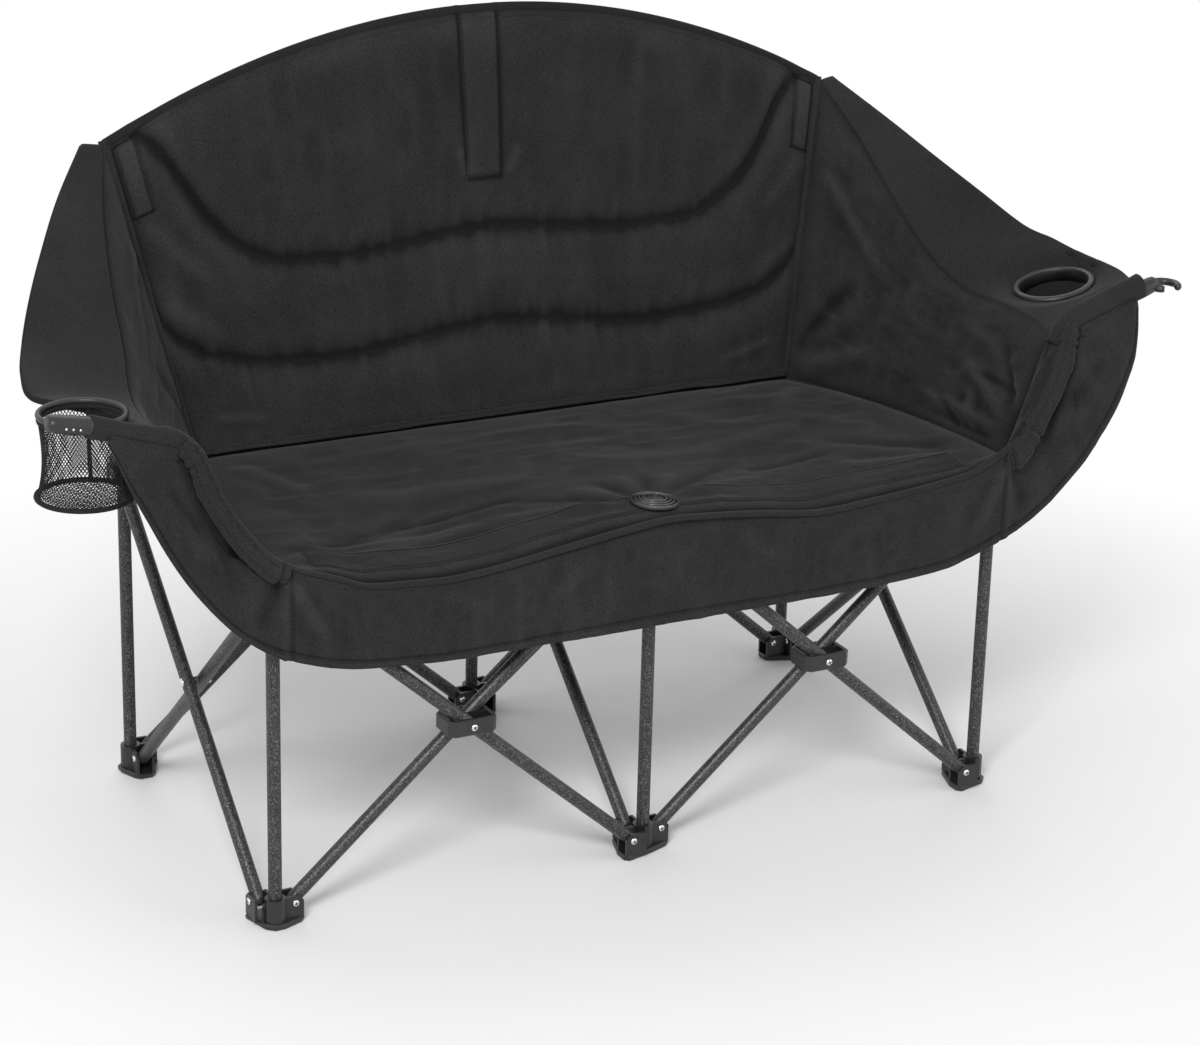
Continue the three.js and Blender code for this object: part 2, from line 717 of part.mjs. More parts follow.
// Height share of the flap's top edge at a share of the way out.
function flapRise(s) {
  const last = flapRiseShares.length - 1;
  const i = Math.min(last - 1, flapRiseShares.findLastIndex(([x]) => x <= s));
  const [[x0, z0], [x1, z1]] = flapRiseShares.slice(i, i + 2);
  return mix(z0, z1, (s - x0) / (x1 - x0));
}

// A surface between four edges: two long ones over u, two end ones over v.
function between(lower, upper, start, end) {
  const corners = [lower(0), lower(1), upper(0), upper(1)];
  return (u, v) => {
    const across = lower(u).multiplyScalar(1 - v).addScaledVector(upper(u), v);
    const along = start(v).multiplyScalar(1 - u).addScaledVector(end(v), u);
    const [a, b, c, d] = corners;
    const both = a.clone().multiplyScalar((1 - u) * (1 - v)).addScaledVector(b, u * (1 - v));
    both.addScaledVector(c, (1 - u) * v).addScaledVector(d, u * v);
    return across.add(along).sub(both);
  };
}

// A closed sewn pad on a surface. half(u, v) is its half thickness, which is 0 along the edges.
function pad(surface, half, us, vs) {
  const step = 1e-3;
  const rows = vs.map((v) => us.map((u) => {
    const middle = surface(u, v);
    const du = surface(Math.min(u + step, 1), v).sub(surface(Math.max(u - step, 0), v));
    const dv = surface(u, Math.min(v + step, 1)).sub(surface(u, Math.max(v - step, 0)));
    const normal = du.cross(dv).normalize().multiplyScalar(half(u, v));
    return [middle.clone().add(normal), middle.clone().sub(normal)];
  }));
  const positions = [];
  const quad = (a, b, c, d) => [a, b, c, a, c, d].forEach((p) => positions.push(p.x, p.y, p.z));
  for (let j = 0; j + 1 < vs.length; j += 1) {
    for (let i = 0; i + 1 < us.length; i += 1) {
      const square = [rows[j][i], rows[j][i + 1], rows[j + 1][i + 1], rows[j + 1][i]];
      quad(...square.map((pair) => pair[0]));
      quad(...square.map((pair) => pair[1]).reverse());
    }
  }
  const geometry = new THREE.BufferGeometry();
  geometry.setAttribute('position', new THREE.BufferAttribute(new Float32Array(positions), 3));
  return solid(geometry);
}

function shares(count) {
  return Array.from({ length: count + 1 }, (_, i) => i / count);
}

// Rounded crown: full thickness inside, drawn in to nothing along the edges.
function crown(u, v, edgeShare) {
  const near = Math.min(u, 1 - u, v, 1 - v) / edgeShare;
  return Math.sqrt(1 - (1 - Math.min(1, near)) ** 2);
}

// The back's top edge at a given x.
function topEdgeZ(x) {
  const s = x / cornerX;
  return crownZ - (crownZ - cornerZ) * s * s;
}

// Where a share of the seat's depth lies, and half the seat's width there.
function seatY(v) {
  return mix(seatFrontY, seatBackY, v);
}

function seatHalfWidth(v) {
  return mix(seatFrontX, seatBackX, v ** seatTaper);
}

// How far the seat dips between two posts; it fades towards the back and past the corner posts.
function dipAt(x, v) {
  const place = Math.min(Math.abs(x), bay) / bay;
  return baySag * Math.sin(Math.PI * place) ** 2 * (1 - v) ** dipFade;
}

// How far the seat's front edge is drawn up; it gathers at the corners.
function liftAt(x, y) {
  const forward = Math.max(0, y / seatFrontY);
  return cornerLift * forward * forward * (x / seatFrontX) ** liftPower;
}

function seatSurface(u, v) {
  const half = seatHalfWidth(v) - seam;
  const x = mix(-half, half, u);
  const y = seatY(v);
  return new THREE.Vector3(x, y, seatZ - dipAt(x, v) + liftAt(x, y));
}

const sleeveRadius = tubeRadius + clothGap + clothGap + sleeveThick;
const sideFrontY = sleeveRadius + clothGap;
const sideStart = (sideFrontY - seatFrontY) / (seatBackY - seatFrontY);

function addSeat() {
  const half = (u, v) => padHalf * crown(u, v, seatEdgeShare);
  const rows = [0, sideStart / 2, ...sideLengthShares.map((u) => mix(sideStart, 1, u))];
  const face = highPivot + topPlateFace + clothGap;
  const below = face - padHalf - cornerLift - baySag;
  let body = pad(seatSurface, half, shares(padColumns), rows);
  for (const place of ['front_left', 'front_middle', 'front_right']) {
    const [cx, cy] = places[place];
    const outline = plateOutline(topArms[place], clothGap).map(([x, y]) => [cx + x, cy + y]);
    body = body.subtract(prism(outline, below, face));
  }
  const above = seatZ + padHalf + overrun;
  body = body.subtract(rod('z', capStem + clothGap, below, above));
  body = body.subtract(rod('z', capRadius + clothGap, capSeatZ, above, [0, 0, 0], ringSides));
  add('seat_pad', body, cloth());
  const rest = capSeatZ + clothGap;
  const disc = rod('z', capRadius, rest, rest + capThick, [0, 0, 0], ringSides);
  add('seat_cap', disc.add(rod('z', capStem, face, rest + capThick / 2)), plastic());
}

// The back's side edge, shared with the side pad.
function backEdge(side, out, v) {
  const x = side * (mix(seatBackX, cornerX, v) + out);
  return new THREE.Vector3(x, mix(seatBackY + seam + seam, depth, v), mix(seatZ + seam + seam, cornerZ, v));
}

// Height of a sewn channel at a place from the side edge (0) to the middle (1).
function channelAt(heights, place) {
  const along = place * (heights.length - 1);
  const i = Math.min(heights.length - 2, Math.floor(along));
  const t = along - i;
  return mix(heights[i], heights[i + 1], THREE.MathUtils.smoothstep(t, 0, 1));
}

// Back surface: row runs from 0 at the seat over channels at 1 and 2 to 3 at the top edge.
function backSurface(u, row) {
  const side = u * 2 - 1;
  const inward = 1 - Math.abs(side);
  const stops = [0, channelAt(lowChannelShares, inward), channelAt(highChannelShares, inward), 1];
  const i = Math.min(stops.length - 2, Math.floor(row));
  const v = mix(stops[i], stops[i + 1], row - i);
  const edge = backEdge(1, -seam, v);
  const x = side * edge.x;
  const hollow = backHollow * (1 - side * side) * Math.sin(Math.PI * v);
  return new THREE.Vector3(x, edge.y + hollow, mix(seatZ + seam + seam, topEdgeZ(side * cornerX), v));
}

function backHalf(u, row) {
  const last = backRowShares[backRowShares.length - 1];
  const channel = Math.round(row);
  const sewn = channel > 0 && channel < last ? Math.min(1, Math.abs(row - channel) / channelShare) : 1;
  const side = Math.min(u, 1 - u) / backEdgeShare;
  const edge = Math.min(1, side, row / channelShare, (last - row) / channelShare);
  const lift = Math.sqrt(1 - (1 - edge) ** 2);
  return lift * mix(channelHalf, padHalf, Math.sqrt(sewn));
}

function addBack() {
  const last = backRowShares[backRowShares.length - 1];
  const rows = backRowShares.map((row) => row / last);
  const surface = (u, v) => backSurface(u, v * last);
  const half = (u, v) => backHalf(u, v * last);
  let body = pad(surface, half, shares(padColumns), rows);
  for (const place of ['rear_left', 'rear_middle', 'rear_right']) {
    const top = place === 'rear_middle' ? middlePoleTop : cornerPoleTop;
    const [x, y] = places[place];
    body = body.subtract(rod('z', tubeRadius + clothGap, highPivot, top + poleCapRise + clothGap, [x, y, 0]));
  }
  add('back_pad', body, cloth());
}

function innerSeam(side) {
  return curveThrough(innerSeamShares.map(([y, x, z]) => [
    side * mix(seamStartX, cornerX, x), mix(sideFrontY, depth, y), mix(armrestZ, cornerZ, z),
  ]));
}

function outerEdge(side) {
  return curveThrough(outerEdgeShares.map(([y, x, z]) => [
    side * mix(cornerX, armOuterX, x), mix(sideFrontY, depth, y), mix(armOuterZ, cornerZ, z),
  ]));
}

function straight(a, b) {
  return (share) => a.clone().lerp(b, share);
}

function addSide(name, side) {
  const top = innerSeam(side);
  const inset = new THREE.Vector3(-side * seam, 0, -seam);
  const upper = (u) => top(u).add(inset);
  const lower = (u) => {
    const v = mix(sideStart, 1, u);
    return new THREE.Vector3(side * (seatHalfWidth(v) + seam), seatY(v), seatZ + seam);
  };
  const surface = between(lower, upper, straight(lower(0), upper(0)), straight(lower(1), upper(1)));
  const half = (u, v) => sidePadHalf * crown(u, v, sideEdgeShare);
  let body = pad(surface, half, sideLengthShares, sideHeightShares);
  body = body.subtract(poleClearance(side));
  add(name, body, cloth());
}

function poleClearance(side) {
  const reach = cornerPoleTop + poleCapRise + clothGap;
  return rod('z', tubeRadius + clothGap, highPivot, reach, [side * bay, depth, 0]);
}

function addArmrest(name, side) {
  const inner = innerSeam(side);
  const outer = outerEdge(side);
  const outset = new THREE.Vector3(side * seam, 0, seam);
  const lower = (u) => inner(u).add(outset);
  const surface = between(lower, outer, straight(lower(0), outer(0)), straight(lower(1), outer(1)));
  const half = (u, v) => armrestHalf * crown(u, v, armrestEdgeShare);
  let body = pad(surface, half, sideLengthShares, armrestWidthShares);
  body = body.subtract(poleClearance(side)).subtract(endClearance(side));
  const [x, y, z, reach] = side > 0
    ? [bottleX, bottleY, bottleZ, bottleRadius + bottleRim + clothGap]
    : [cupX, cupY, cupTop, ringRadius + ringWire + clothGap];
  body = body.subtract(rod('z', reach, z - pocketDepth, z + pocketDepth, [x, y, 0], ringSides));
  if (side < 0) body = body.subtract(cupCorner());
  add(name, body, cloth());
}

// The armrest's front corner outside the cup, left open for its rim.
function cupCorner() {
  const past = armOuterX + overrun;
  return box([-past, seatFrontY, cupTop - pocketDepth], [cupX, cupY, cupTop + pocketDepth]);
}

// Room round the sleeve that closes an arm tube.
function endClearance(side) {
  const from = -clampOverlap - clothGap;
  const rodBody = rod('x', clampRadius + clothGap, from, clampLength - clampOverlap + clothGap);
  return solid(geometryOf(rodBody).applyMatrix4(armEndMatrix(side)));
}

function addBottleHolder() {
  const middle = bottleRadius + bottleRim / 2;
  const tilt = new THREE.Matrix4().makeRotationY(-bottleTilt).setPosition(bottleX, bottleY, bottleZ);
  const tilted = (body) => solid(geometryOf(body).applyMatrix4(tilt));
  add('bottle_ring', tilted(flatRing(middle, bottleRim / 2, bottleRimThick / 2, [0, 0, 0])), plastic());
  const above = bottleZ + bottleRadius;
  const pocket = cup(middle, middle, pocketWall, bottleZ - pocketDepth, above, [bottleX, bottleY]);
  const past = bottleRadius + bottleRim + overrun;
  const lid = box([-past, -past, -bottleRimThick / 2 - clothGap], [past, past, past]);
  add('bottle_pocket', pocket.subtract(tilted(lid)), cloth());
}

function flatRing(radius, halfWide, halfHigh, [x, y, z]) {
  const outer = rod('z', radius + halfWide, z - halfHigh, z + halfHigh, [x, y, 0], ringSides);
  const past = halfHigh + overrun;
  return outer.subtract(rod('z', radius - halfWide, z - past, z + past, [x, y, 0], ringSides));
}

// Cloth sleeve on the arm tube's outer leg, with its stitched hem below.
function addArmSleeve(name, side) {
  const { knot, end } = armLine(side);
  const length = knot.distanceTo(end);
  const from = -length * (1 - bendShare - bendShare);
  const to = -clampOverlap - clothGap;
  const bore = (tubeRadius + clothGap) / Math.cos(Math.PI / tubeSides);
  const hem = box([from, -sleeveThick / 2, -bore - sleeveHem], [to, sleeveThick / 2, -bore]);
  const inside = rod('x', bore, from - overrun, to + overrun);
  const body = rod('x', sleeveRadius, from, to).add(hem).subtract(inside);
  const turned = armEndMatrix(side);
  if (side < 0) turned.multiply(new THREE.Matrix4().makeRotationX(Math.PI));
  add(name, solid(geometryOf(body).applyMatrix4(turned)), cloth());
}

// The front flap's top edge on the right side: along the seat's front, then up the arm tube.
function flapTop(share) {
  const x = share * armEndX;
  const onSeat = Math.min(x, seatFrontX);
  const z = seatZ - dipAt(onSeat, 0) + liftAt(onSeat, seatFrontY) - seam - seam;
  if (x <= seatFrontX) return new THREE.Vector3(x, flapY, z);
  const s = (x - seatFrontX) / (armEndX - seatFrontX);
  const y = mix(flapY, flapArmY, Math.min(1, s / flapTurnShare));
  return new THREE.Vector3(x, y, mix(z, armEndZ, flapRise(s)));
}

function addFlap() {
  const hemAt = curveThrough(hemShares.map(([x, z]) => [
    x * armEndX, mix(flapY, flapArmY, z), mix(hemZ, armEndZ, z),
  ]));
  const surface = (u, v) => {
    const side = u < 0.5 ? -1 : 1;
    const s = Math.abs(u - 0.5) * 2;
    const p = hemAt(s).lerp(flapTop(s), v);
    return new THREE.Vector3(p.x * side, p.y, p.z);
  };
  const half = (u, v) => flapHalf * crown(u, v, flapEdgeShare);
  const body = pad(surface, half, shares(flapColumns), flapHeightShares);
  add('front_flap', body.subtract(endClearance(-1)).subtract(endClearance(1)), cloth());
}

addPosts();
addBars();
addHubs();
addArms();
addSeat();
addBack();
addSide('side_pad_left', -1);
addSide('side_pad_right', 1);
addArmrest('armrest_left', -1);
addArmrest('armrest_right', 1);
addArmSleeve('arm_sleeve_left', -1);
addArmSleeve('arm_sleeve_right', 1);
addBottleHolder();
addFlap();

export default loveseat;
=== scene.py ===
"""Looks of the folding camping loveseat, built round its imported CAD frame.

Shapes are worked out in millimetres, in the CAD part's frame, and become metres
when a mesh is made.
"""
import json
import math

import bmesh
import bpy
import numpy as np
from mathutils import Matrix, Vector


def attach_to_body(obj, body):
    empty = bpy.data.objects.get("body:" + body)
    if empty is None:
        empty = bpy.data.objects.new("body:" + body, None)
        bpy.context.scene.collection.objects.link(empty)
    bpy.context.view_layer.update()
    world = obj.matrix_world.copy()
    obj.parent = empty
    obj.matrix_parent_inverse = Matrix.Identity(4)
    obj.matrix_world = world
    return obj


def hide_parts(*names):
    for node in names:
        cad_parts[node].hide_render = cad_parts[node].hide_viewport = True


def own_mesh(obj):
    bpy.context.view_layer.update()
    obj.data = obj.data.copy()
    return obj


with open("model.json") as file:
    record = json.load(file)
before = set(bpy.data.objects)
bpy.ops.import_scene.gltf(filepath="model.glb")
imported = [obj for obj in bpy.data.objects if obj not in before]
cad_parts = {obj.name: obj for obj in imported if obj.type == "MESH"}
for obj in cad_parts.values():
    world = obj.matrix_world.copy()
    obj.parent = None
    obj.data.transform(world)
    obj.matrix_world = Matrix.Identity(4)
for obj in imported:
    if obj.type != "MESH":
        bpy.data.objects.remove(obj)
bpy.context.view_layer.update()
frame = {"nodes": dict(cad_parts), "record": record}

MM = 0.001
TAU = 2 * math.pi
RELIEF = 5.4  # height of cloth folds over which the painted fold shade runs from darkest, in creases, to lightest, on puffs
LEVEL = 0.5  # painted fold shade of flat cloth, neither darkened nor lightened
SPREAD = 60  # steps over which a pad's thickness is levelled to tell folds from its large form
WORD = {-1: "left", 1: "right"}
TOP = "front_middle_top"
REAR = "rear_middle_base"

# Sizes of the frame, as in the CAD part
BAY = DEPTH = 480
LOW_PIVOT, HIGH_PIVOT = 25, 403
PIVOT_OFFSET = 24
BEHIND, AHEAD = 8, -11
TUBE_R = 8
EAR_OUT = 11.9  # from a bar's plane to its ear's outer face
CORNER_POLE, MIDDLE_POLE = 788, 913
HUB_Z = (LOW_PIVOT + HIGH_PIVOT) / 2
HUB_OUT = 13.6  # from a bar's plane to its crossing block's outer face
POST_LOW, POST_HIGH = 6, 385
TOP_TUBE_R, TOP_TUBE_LOW, TOP_TUBE_HIGH = 6.5, 130, 415

# Sizes of the cloth shell
CORNER_X, CORNER_Z, CROWN_Z = 495, 818, 948
SEAT_Z, SEAT_BACK_X, SEAT_BACK_Y = 433, 417, 402
SEAT_FRONT_X, SEAT_FRONT_Y = 505, -33
SEAT_DEEP = SEAT_BACK_Y - SEAT_FRONT_Y
# In front of this depth cloth rides with the front posts, behind it with the rear poles
CUT_Y = (SEAT_BACK_Y + SEAT_FRONT_Y) / 2
CUT_SLACK = 6  # a seam is cut in two only if it passes mid depth by this much both ways
SEAT_TAPER = 2.5
KNOT_X, KNOT_Z = 578, 594
ARM_END_X, ARM_END_Z = 690, 631
ARM_SEAM_X, ARM_SEAM_Z, ARM_OUT_X, ARM_OUT_Z = 562, 584, 714, 616
SLEEVE_R = 10.4


# ---------- Numbers and curves ----------

def mix(a, b, t):
    return a + (b - a) * t


def ease(t):
    t = np.clip(t, 0, 1)
    return t * t * (3 - 2 * t)


def bump(d, width):
    """A soft ridge: 1 on its line, 0 a few widths away."""
    return np.exp(-(d / width) ** 2)


def through(points):
    """A smooth curve through points, as a function of an array of shares."""
    p = np.array(points, float)
    ends = np.vstack([2 * p[0] - p[1], p, 2 * p[-1] - p[-2]])
    step = np.maximum(np.linalg.norm(np.diff(ends, axis=0), axis=1), 1e-9) ** 0.5
    t1, t2 = [], []
    for i in range(len(p) - 1):
        a, b, c, d = ends[i:i + 4]
        s0, s1, s2 = step[i:i + 3]
        t1.append(((b - a) / s0 - (c - a) / (s0 + s1) + (c - b) / s1) * s1)
        t2.append(((c - b) / s1 - (d - b) / (s1 + s2) + (d - c) / s2) * s1)
    t1, t2 = np.array(t1), np.array(t2)

    def at(share):
        s = np.clip(np.asarray(share, float), 0, 1) * (len(p) - 1)
        i = np.minimum(s.astype(int), len(p) - 2)
        w = (s - i)[..., None]
        a, b, u, v = p[i], p[i + 1], t1[i], t2[i]
        return (a + u * w + (-3 * a + 3 * b - 2 * u - v) * w ** 2
                + (2 * a - 2 * b + u + v) * w ** 3)
    return at


def lookup(xs, ys):
    """A smooth function of one number through a table of places."""
    xs, ys = np.array(xs, float), np.array(ys, float)
    slope = np.gradient(ys, xs)

    def at(x):
        x = np.clip(np.asarray(x, float), xs[0], xs[-1])
        i = np.clip(np.searchsorted(xs, x) - 1, 0, len(xs) - 2)
        h = xs[i + 1] - xs[i]
        t = (x - xs[i]) / h
        return ((1 + 2 * t) * (1 - t) ** 2 * ys[i] + t * (1 - t) ** 2 * h * slope[i]
                + t * t * (3 - 2 * t) * ys[i + 1] + t * t * (t - 1) * h * slope[i + 1])
    return at


def field(x, y, size, seed):
    """Smooth noise from -1 to 1 over a plane, with lumps of the given size."""
    grid = np.random.default_rng(seed).uniform(-1, 1, (64, 64))
    x, y = x / size + 31.7, y / size + 17.3
    i, j = np.floor(x).astype(int), np.floor(y).astype(int)
    u, v = x - i, y - j
    u, v = u ** 3 * (u * (u * 6 - 15) + 10), v ** 3 * (v * (v * 6 - 15) + 10)
    a, b = grid[i % 64, j % 64], grid[(i + 1) % 64, j % 64]
    c, d = grid[i % 64, (j + 1) % 64], grid[(i + 1) % 64, (j + 1) % 64]
    return mix(mix(a, b, u), mix(c, d, u), v)


def ridge(x, y, size, seed):
    """Noise with narrow crests and wide hollows, as creased cloth has."""
    return 1 - 2 * np.sqrt(field(x, y, size, seed) ** 2 + 0.004)


def spread_out(values, steps):
    """Values on a grid, each with its neighbours' mean, several times over."""
    for _ in range(steps):
        padded = np.pad(values, 1, mode="edge")
        values = (padded[:-2, 1:-1] + padded[2:, 1:-1] + padded[1:-1, :-2] + padded[1:-1, 2:]
                  + 2 * values) / 6
    return values


def crease(x, y, start, end, width, depth):
    """A soft fold along a line on a plane, fading at both ends."""
    (x0, y0), (x1, y1) = start, end
    length = math.hypot(x1 - x0, y1 - y0)
    dx, dy = (x1 - x0) / length, (y1 - y0) / length
    along = ((x - x0) * dx + (y - y0) * dy) / length
    off = (x - x0) * dy - (y - y0) * dx
    fade = ease(along / 0.2) * ease((1 - along) / 0.35)
    return depth * fade * bump(off, width)


def creases(x, y, lines, base=0):
    """Several folds on top of a base."""
    return sum((crease(x, y, *line) for line in lines), base)


def unit(v):
    v = np.asarray(v, float)
    return v / np.maximum(np.linalg.norm(v, axis=-1, keepdims=True), 1e-9)


def distances(path):
    """How far along a path each of its points is."""
    return np.concatenate([[0], np.cumsum(np.linalg.norm(np.diff(path, axis=0), axis=1))])


def directions(path):
    return unit(np.gradient(path, axis=0))


def repeat(vector, count):
    return np.tile(np.array(vector, float), (count, 1))


def normals_of(p):
    return unit(np.cross(np.gradient(p, axis=1), np.gradient(p, axis=0)))


# ---------- Meshes ----------

def new_object(name, data):
    made = bpy.data.objects.new(name, data)
    bpy.context.scene.collection.objects.link(made)
    return made


def mesh_object(name, verts, faces, material, smooth=True, uv=None, fold_shade=None):
    mesh = bpy.data.meshes.new(name)
    mesh.from_pydata([tuple(v) for v in np.asarray(verts, float) * MM], [], faces)
    mesh.update()
    mesh.materials.append(material)
    if smooth:
        mesh.shade_smooth()
    if uv is not None:
        layer = mesh.uv_layers.new(name="cloth")
        index = np.empty(len(mesh.loops), int)
        mesh.loops.foreach_get("vertex_index", index)
        layer.data.foreach_set("uv", (np.asarray(uv)[index] * MM).ravel())
    # Painted shade and highlight for cloth: this attribute darkens the cloth's colour in creases and lightens
    # it on puffs
    fold_shade_layer = mesh.attributes.new("fold_shade", "FLOAT", "POINT")
    fold_shade_layer.data.foreach_set("value", np.full(len(verts), LEVEL) if fold_shade is None else fold_shade)
    return new_object(name, mesh)


def edit_mesh(piece, change):
    """Opens a piece's mesh, changes it and writes it back."""
    bm = bmesh.new()
    bm.from_mesh(piece.data)
    change(bm)
    bm.to_mesh(piece.data)
    bm.free()


def face_out(bm):
    bmesh.ops.recalc_face_normals(bm, faces=bm.faces)


def grid_faces(nu, nv, first=0, flip=False):
    turn = -1 if flip else 1
    corners = [first + j * nu + i for j in range(nv - 1) for i in range(nu - 1)]
    return [(a, a + 1, a + nu + 1, a + nu)[::turn] for a in corners]


def rim_faces(nu, nv, flip=False):
    """Quads that close two grids of the same size along their borders."""
    line = (list(range(nu)) + [j * nu + nu - 1 for j in range(1, nv)]
            + [(nv - 1) * nu + i for i in range(nu - 2, -1, -1)]
            + [j * nu for j in range(nv - 2, 0, -1)])
    n, turn = nu * nv, -1 if flip else 1
    return [(b, a, a + n, b + n)[::turn] for a, b in zip(line, line[1:] + line[:1])]


def tube_faces(rings, sides, closed=False, capped=True, first=0):
    """Quads of a tube from ring to ring, with a cap on each end."""
    faces = []
    for i in range(rings if closed else rings - 1):
        a, b = first + i * sides, first + (i + 1) % rings * sides
        faces += [(a + k, a + (k + 1) % sides, b + (k + 1) % sides, b + k) for k in range(sides)]
    if capped and not closed:
        faces.append(tuple(range(sides))[::-1])
        faces.append(tuple((rings - 1) * sides + k for k in range(sides)))
    return faces


def pad(name, surface, up, down, nu, nv, material, flip=False):
    """A closed padded panel: up and down are its thickness to each side of a surface."""
    u, v = np.meshgrid(np.linspace(0, 1, nu), np.linspace(0, 1, nv))
    p = surface(u, v)
    n = normals_of(p) * (-1 if flip else 1)
    thick = np.asarray(up(u, v)) + 0 * u
    # Painted shade and highlight from the folds: thickness below its local mean marks a crease to darken,
    # above it a puff to lighten
    fold_shade = np.clip(LEVEL + (thick - spread_out(thick, SPREAD)) / RELIEF, 0, 1).ravel()
    top = p + n * thick[..., None]
    low = p - n * np.asarray(down(u, v))[..., None]
    verts = np.vstack([top.reshape(-1, 3), low.reshape(-1, 3)])
    faces = grid_faces(nu, nv, 0, flip) + grid_faces(nu, nv, nu * nv, not flip)
    faces += rim_faces(nu, nv, flip)
    width = np.linalg.norm(np.diff(p[nv // 2], axis=0), axis=1).sum()
    height = np.linalg.norm(np.diff(p[:, nu // 2], axis=0), axis=1).sum()
    uv = np.stack([u * width, v * height], -1).reshape(-1, 2)
    fold_shade = np.concatenate([fold_shade, np.full(nu * nv, LEVEL)])
    return mesh_object(name, verts, faces, material, uv=np.vstack([uv, uv]), fold_shade=fold_shade)


def sweep(name, path, side, up, material, half_wide, half_high, sides=10, closed=False):
    """An oval strip along a path. side and up are unit vectors, one for each point or one for all."""
    path = np.asarray(path, float)
    n = len(path)
    wide, high = (np.broadcast_to(np.asarray(half, float), (n,))[:, None] for half in (half_wide, half_high))
    side, up = np.asarray(side, float) * wide, np.asarray(up, float) * high
    angles = [TAU * k / sides for k in range(sides)]
    rings = np.stack([path + side * math.cos(a) + up * math.sin(a) for a in angles], 1)
    uv = np.stack([np.repeat(distances(path), sides), np.tile(np.arange(sides) * 2.5, n)], -1)
    piece = mesh_object(name, rings.reshape(-1, 3), tube_faces(n, sides, closed), material, uv=uv)
    fix_normals(piece)
    return piece


def fix_normals(piece):
    edit_mesh(piece, face_out)
    piece.data.shade_smooth()


def rope(name, path, radius, material, sides=12, closed=False):
    """A round tube along a path, with frames that don't twist."""
    t = directions(np.asarray(path, float))
    start = np.cross(t[0], [0, 0, 1])
    if np.linalg.norm(start) < 0.1:
        start = np.cross(t[0], [1, 0, 0])
    side = [unit(start)]
    for along in t[1:]:
        side.append(unit(side[-1] - along * np.dot(side[-1], along)))
    side = np.array(side)
    return sweep(name, path, side, np.cross(side, t), material, radius, radius, sides, closed)


def lathe(name, profile, material, segments=48, centre=(0, 0, 0), turn=None, crisp=None):
    """A turned shape from (radius, height) points, about Z."""
    verts, faces = [], []
    n = len(profile)
    for k in range(segments):
        angle, a, b = TAU * k / segments, k * n, (k + 1) % segments * n
        verts += [(r * math.cos(angle), r * math.sin(angle), z) for r, z in profile]
        faces += [(a + i, b + i, b + i + 1, a + i + 1) for i in range(n - 1)]
    verts = np.array(verts, float)
    if turn is not None:
        verts = verts @ np.array(turn).T
    piece = mesh_object(name, verts + np.array(centre, float), faces, material)

    def weld(bm):
        bmesh.ops.remove_doubles(bm, verts=bm.verts, dist=1e-6)
        face_out(bm)
    edit_mesh(piece, weld)
    if crisp:
        piece.data.shade_smooth()
        piece.data.set_sharp_from_angle(angle=math.radians(crisp))
    return piece


def join(name, pieces):
    """One object from several, with each of their materials once."""
    bm = bmesh.new()
    mats = list(dict.fromkeys(m for p in pieces for m in p.data.materials))
    for p in pieces:
        index = [mats.index(m) for m in p.data.materials]
        start = len(bm.faces)
        bm.from_mesh(p.data)
        bm.faces.ensure_lookup_table()
        for f in bm.faces[start:]:
            f.material_index = index[f.material_index]
        bpy.data.objects.remove(p)
    mesh = bpy.data.meshes.new(name)
    bm.to_mesh(mesh)
    bm.free()
    for m in mats:
        mesh.materials.append(m)
    return new_object(name, mesh)


# ---------- Materials ----------

def new_material(name):
    """A material, its tree, its main shader and the object's coordinates."""
    material = bpy.data.materials.new(name)
    material.use_nodes = True
    tree = material.node_tree
    return material, tree, tree.nodes["Principled BSDF"], add_node(tree, "TexCoord").outputs["Object"]


def feed(tree, node, inputs):
    """Gives a node its inputs, by name or place: values, or outputs of other nodes."""
    for key, value in inputs.items():
        if isinstance(value, bpy.types.NodeSocket):
            tree.links.new(value, node.inputs[key])
        else:
            node.inputs[key].default_value = value


def add_node(tree, kind, inputs=None, **settings):
    made = tree.nodes.new(f"ShaderNode{kind}")
    for key, value in settings.items():
        setattr(made, key, value)
    feed(tree, made, inputs or {})
    return made


def math_node(tree, operation, *values):
    return add_node(tree, "Math", dict(enumerate(values)), operation=operation).outputs[0]


def noise_node(tree, coords, scale, detail=4, rough=0.55):
    inputs = {"Vector": coords, "Scale": scale, "Detail": detail, "Roughness": rough}
    return add_node(tree, "TexNoise", inputs).outputs["Fac"]


def ramp_node(tree, source, stops):
    """Colours or greys between places on a ramp."""
    made = add_node(tree, "ValToRGB", {"Fac": source})
    elements = made.color_ramp.elements
    while len(elements) < len(stops):
        elements.new(0.5)
    for element, (place, value) in zip(elements, stops):
        element.position = place
        element.color = (*value, 1) if isinstance(value, tuple) else (value, value, value, 1)
    return made.outputs["Color"]


def bump_node(tree, height, strength, distance, **under):
    inputs = {"Height": height, "Strength": strength, "Distance": distance, **under}
    return add_node(tree, "Bump", inputs).outputs["Normal"]


GRAIN_SHARE = 0.74  # of the cloth's tone; the rest is cloudy
WEAVE = 330  # scale of the cloth's threads


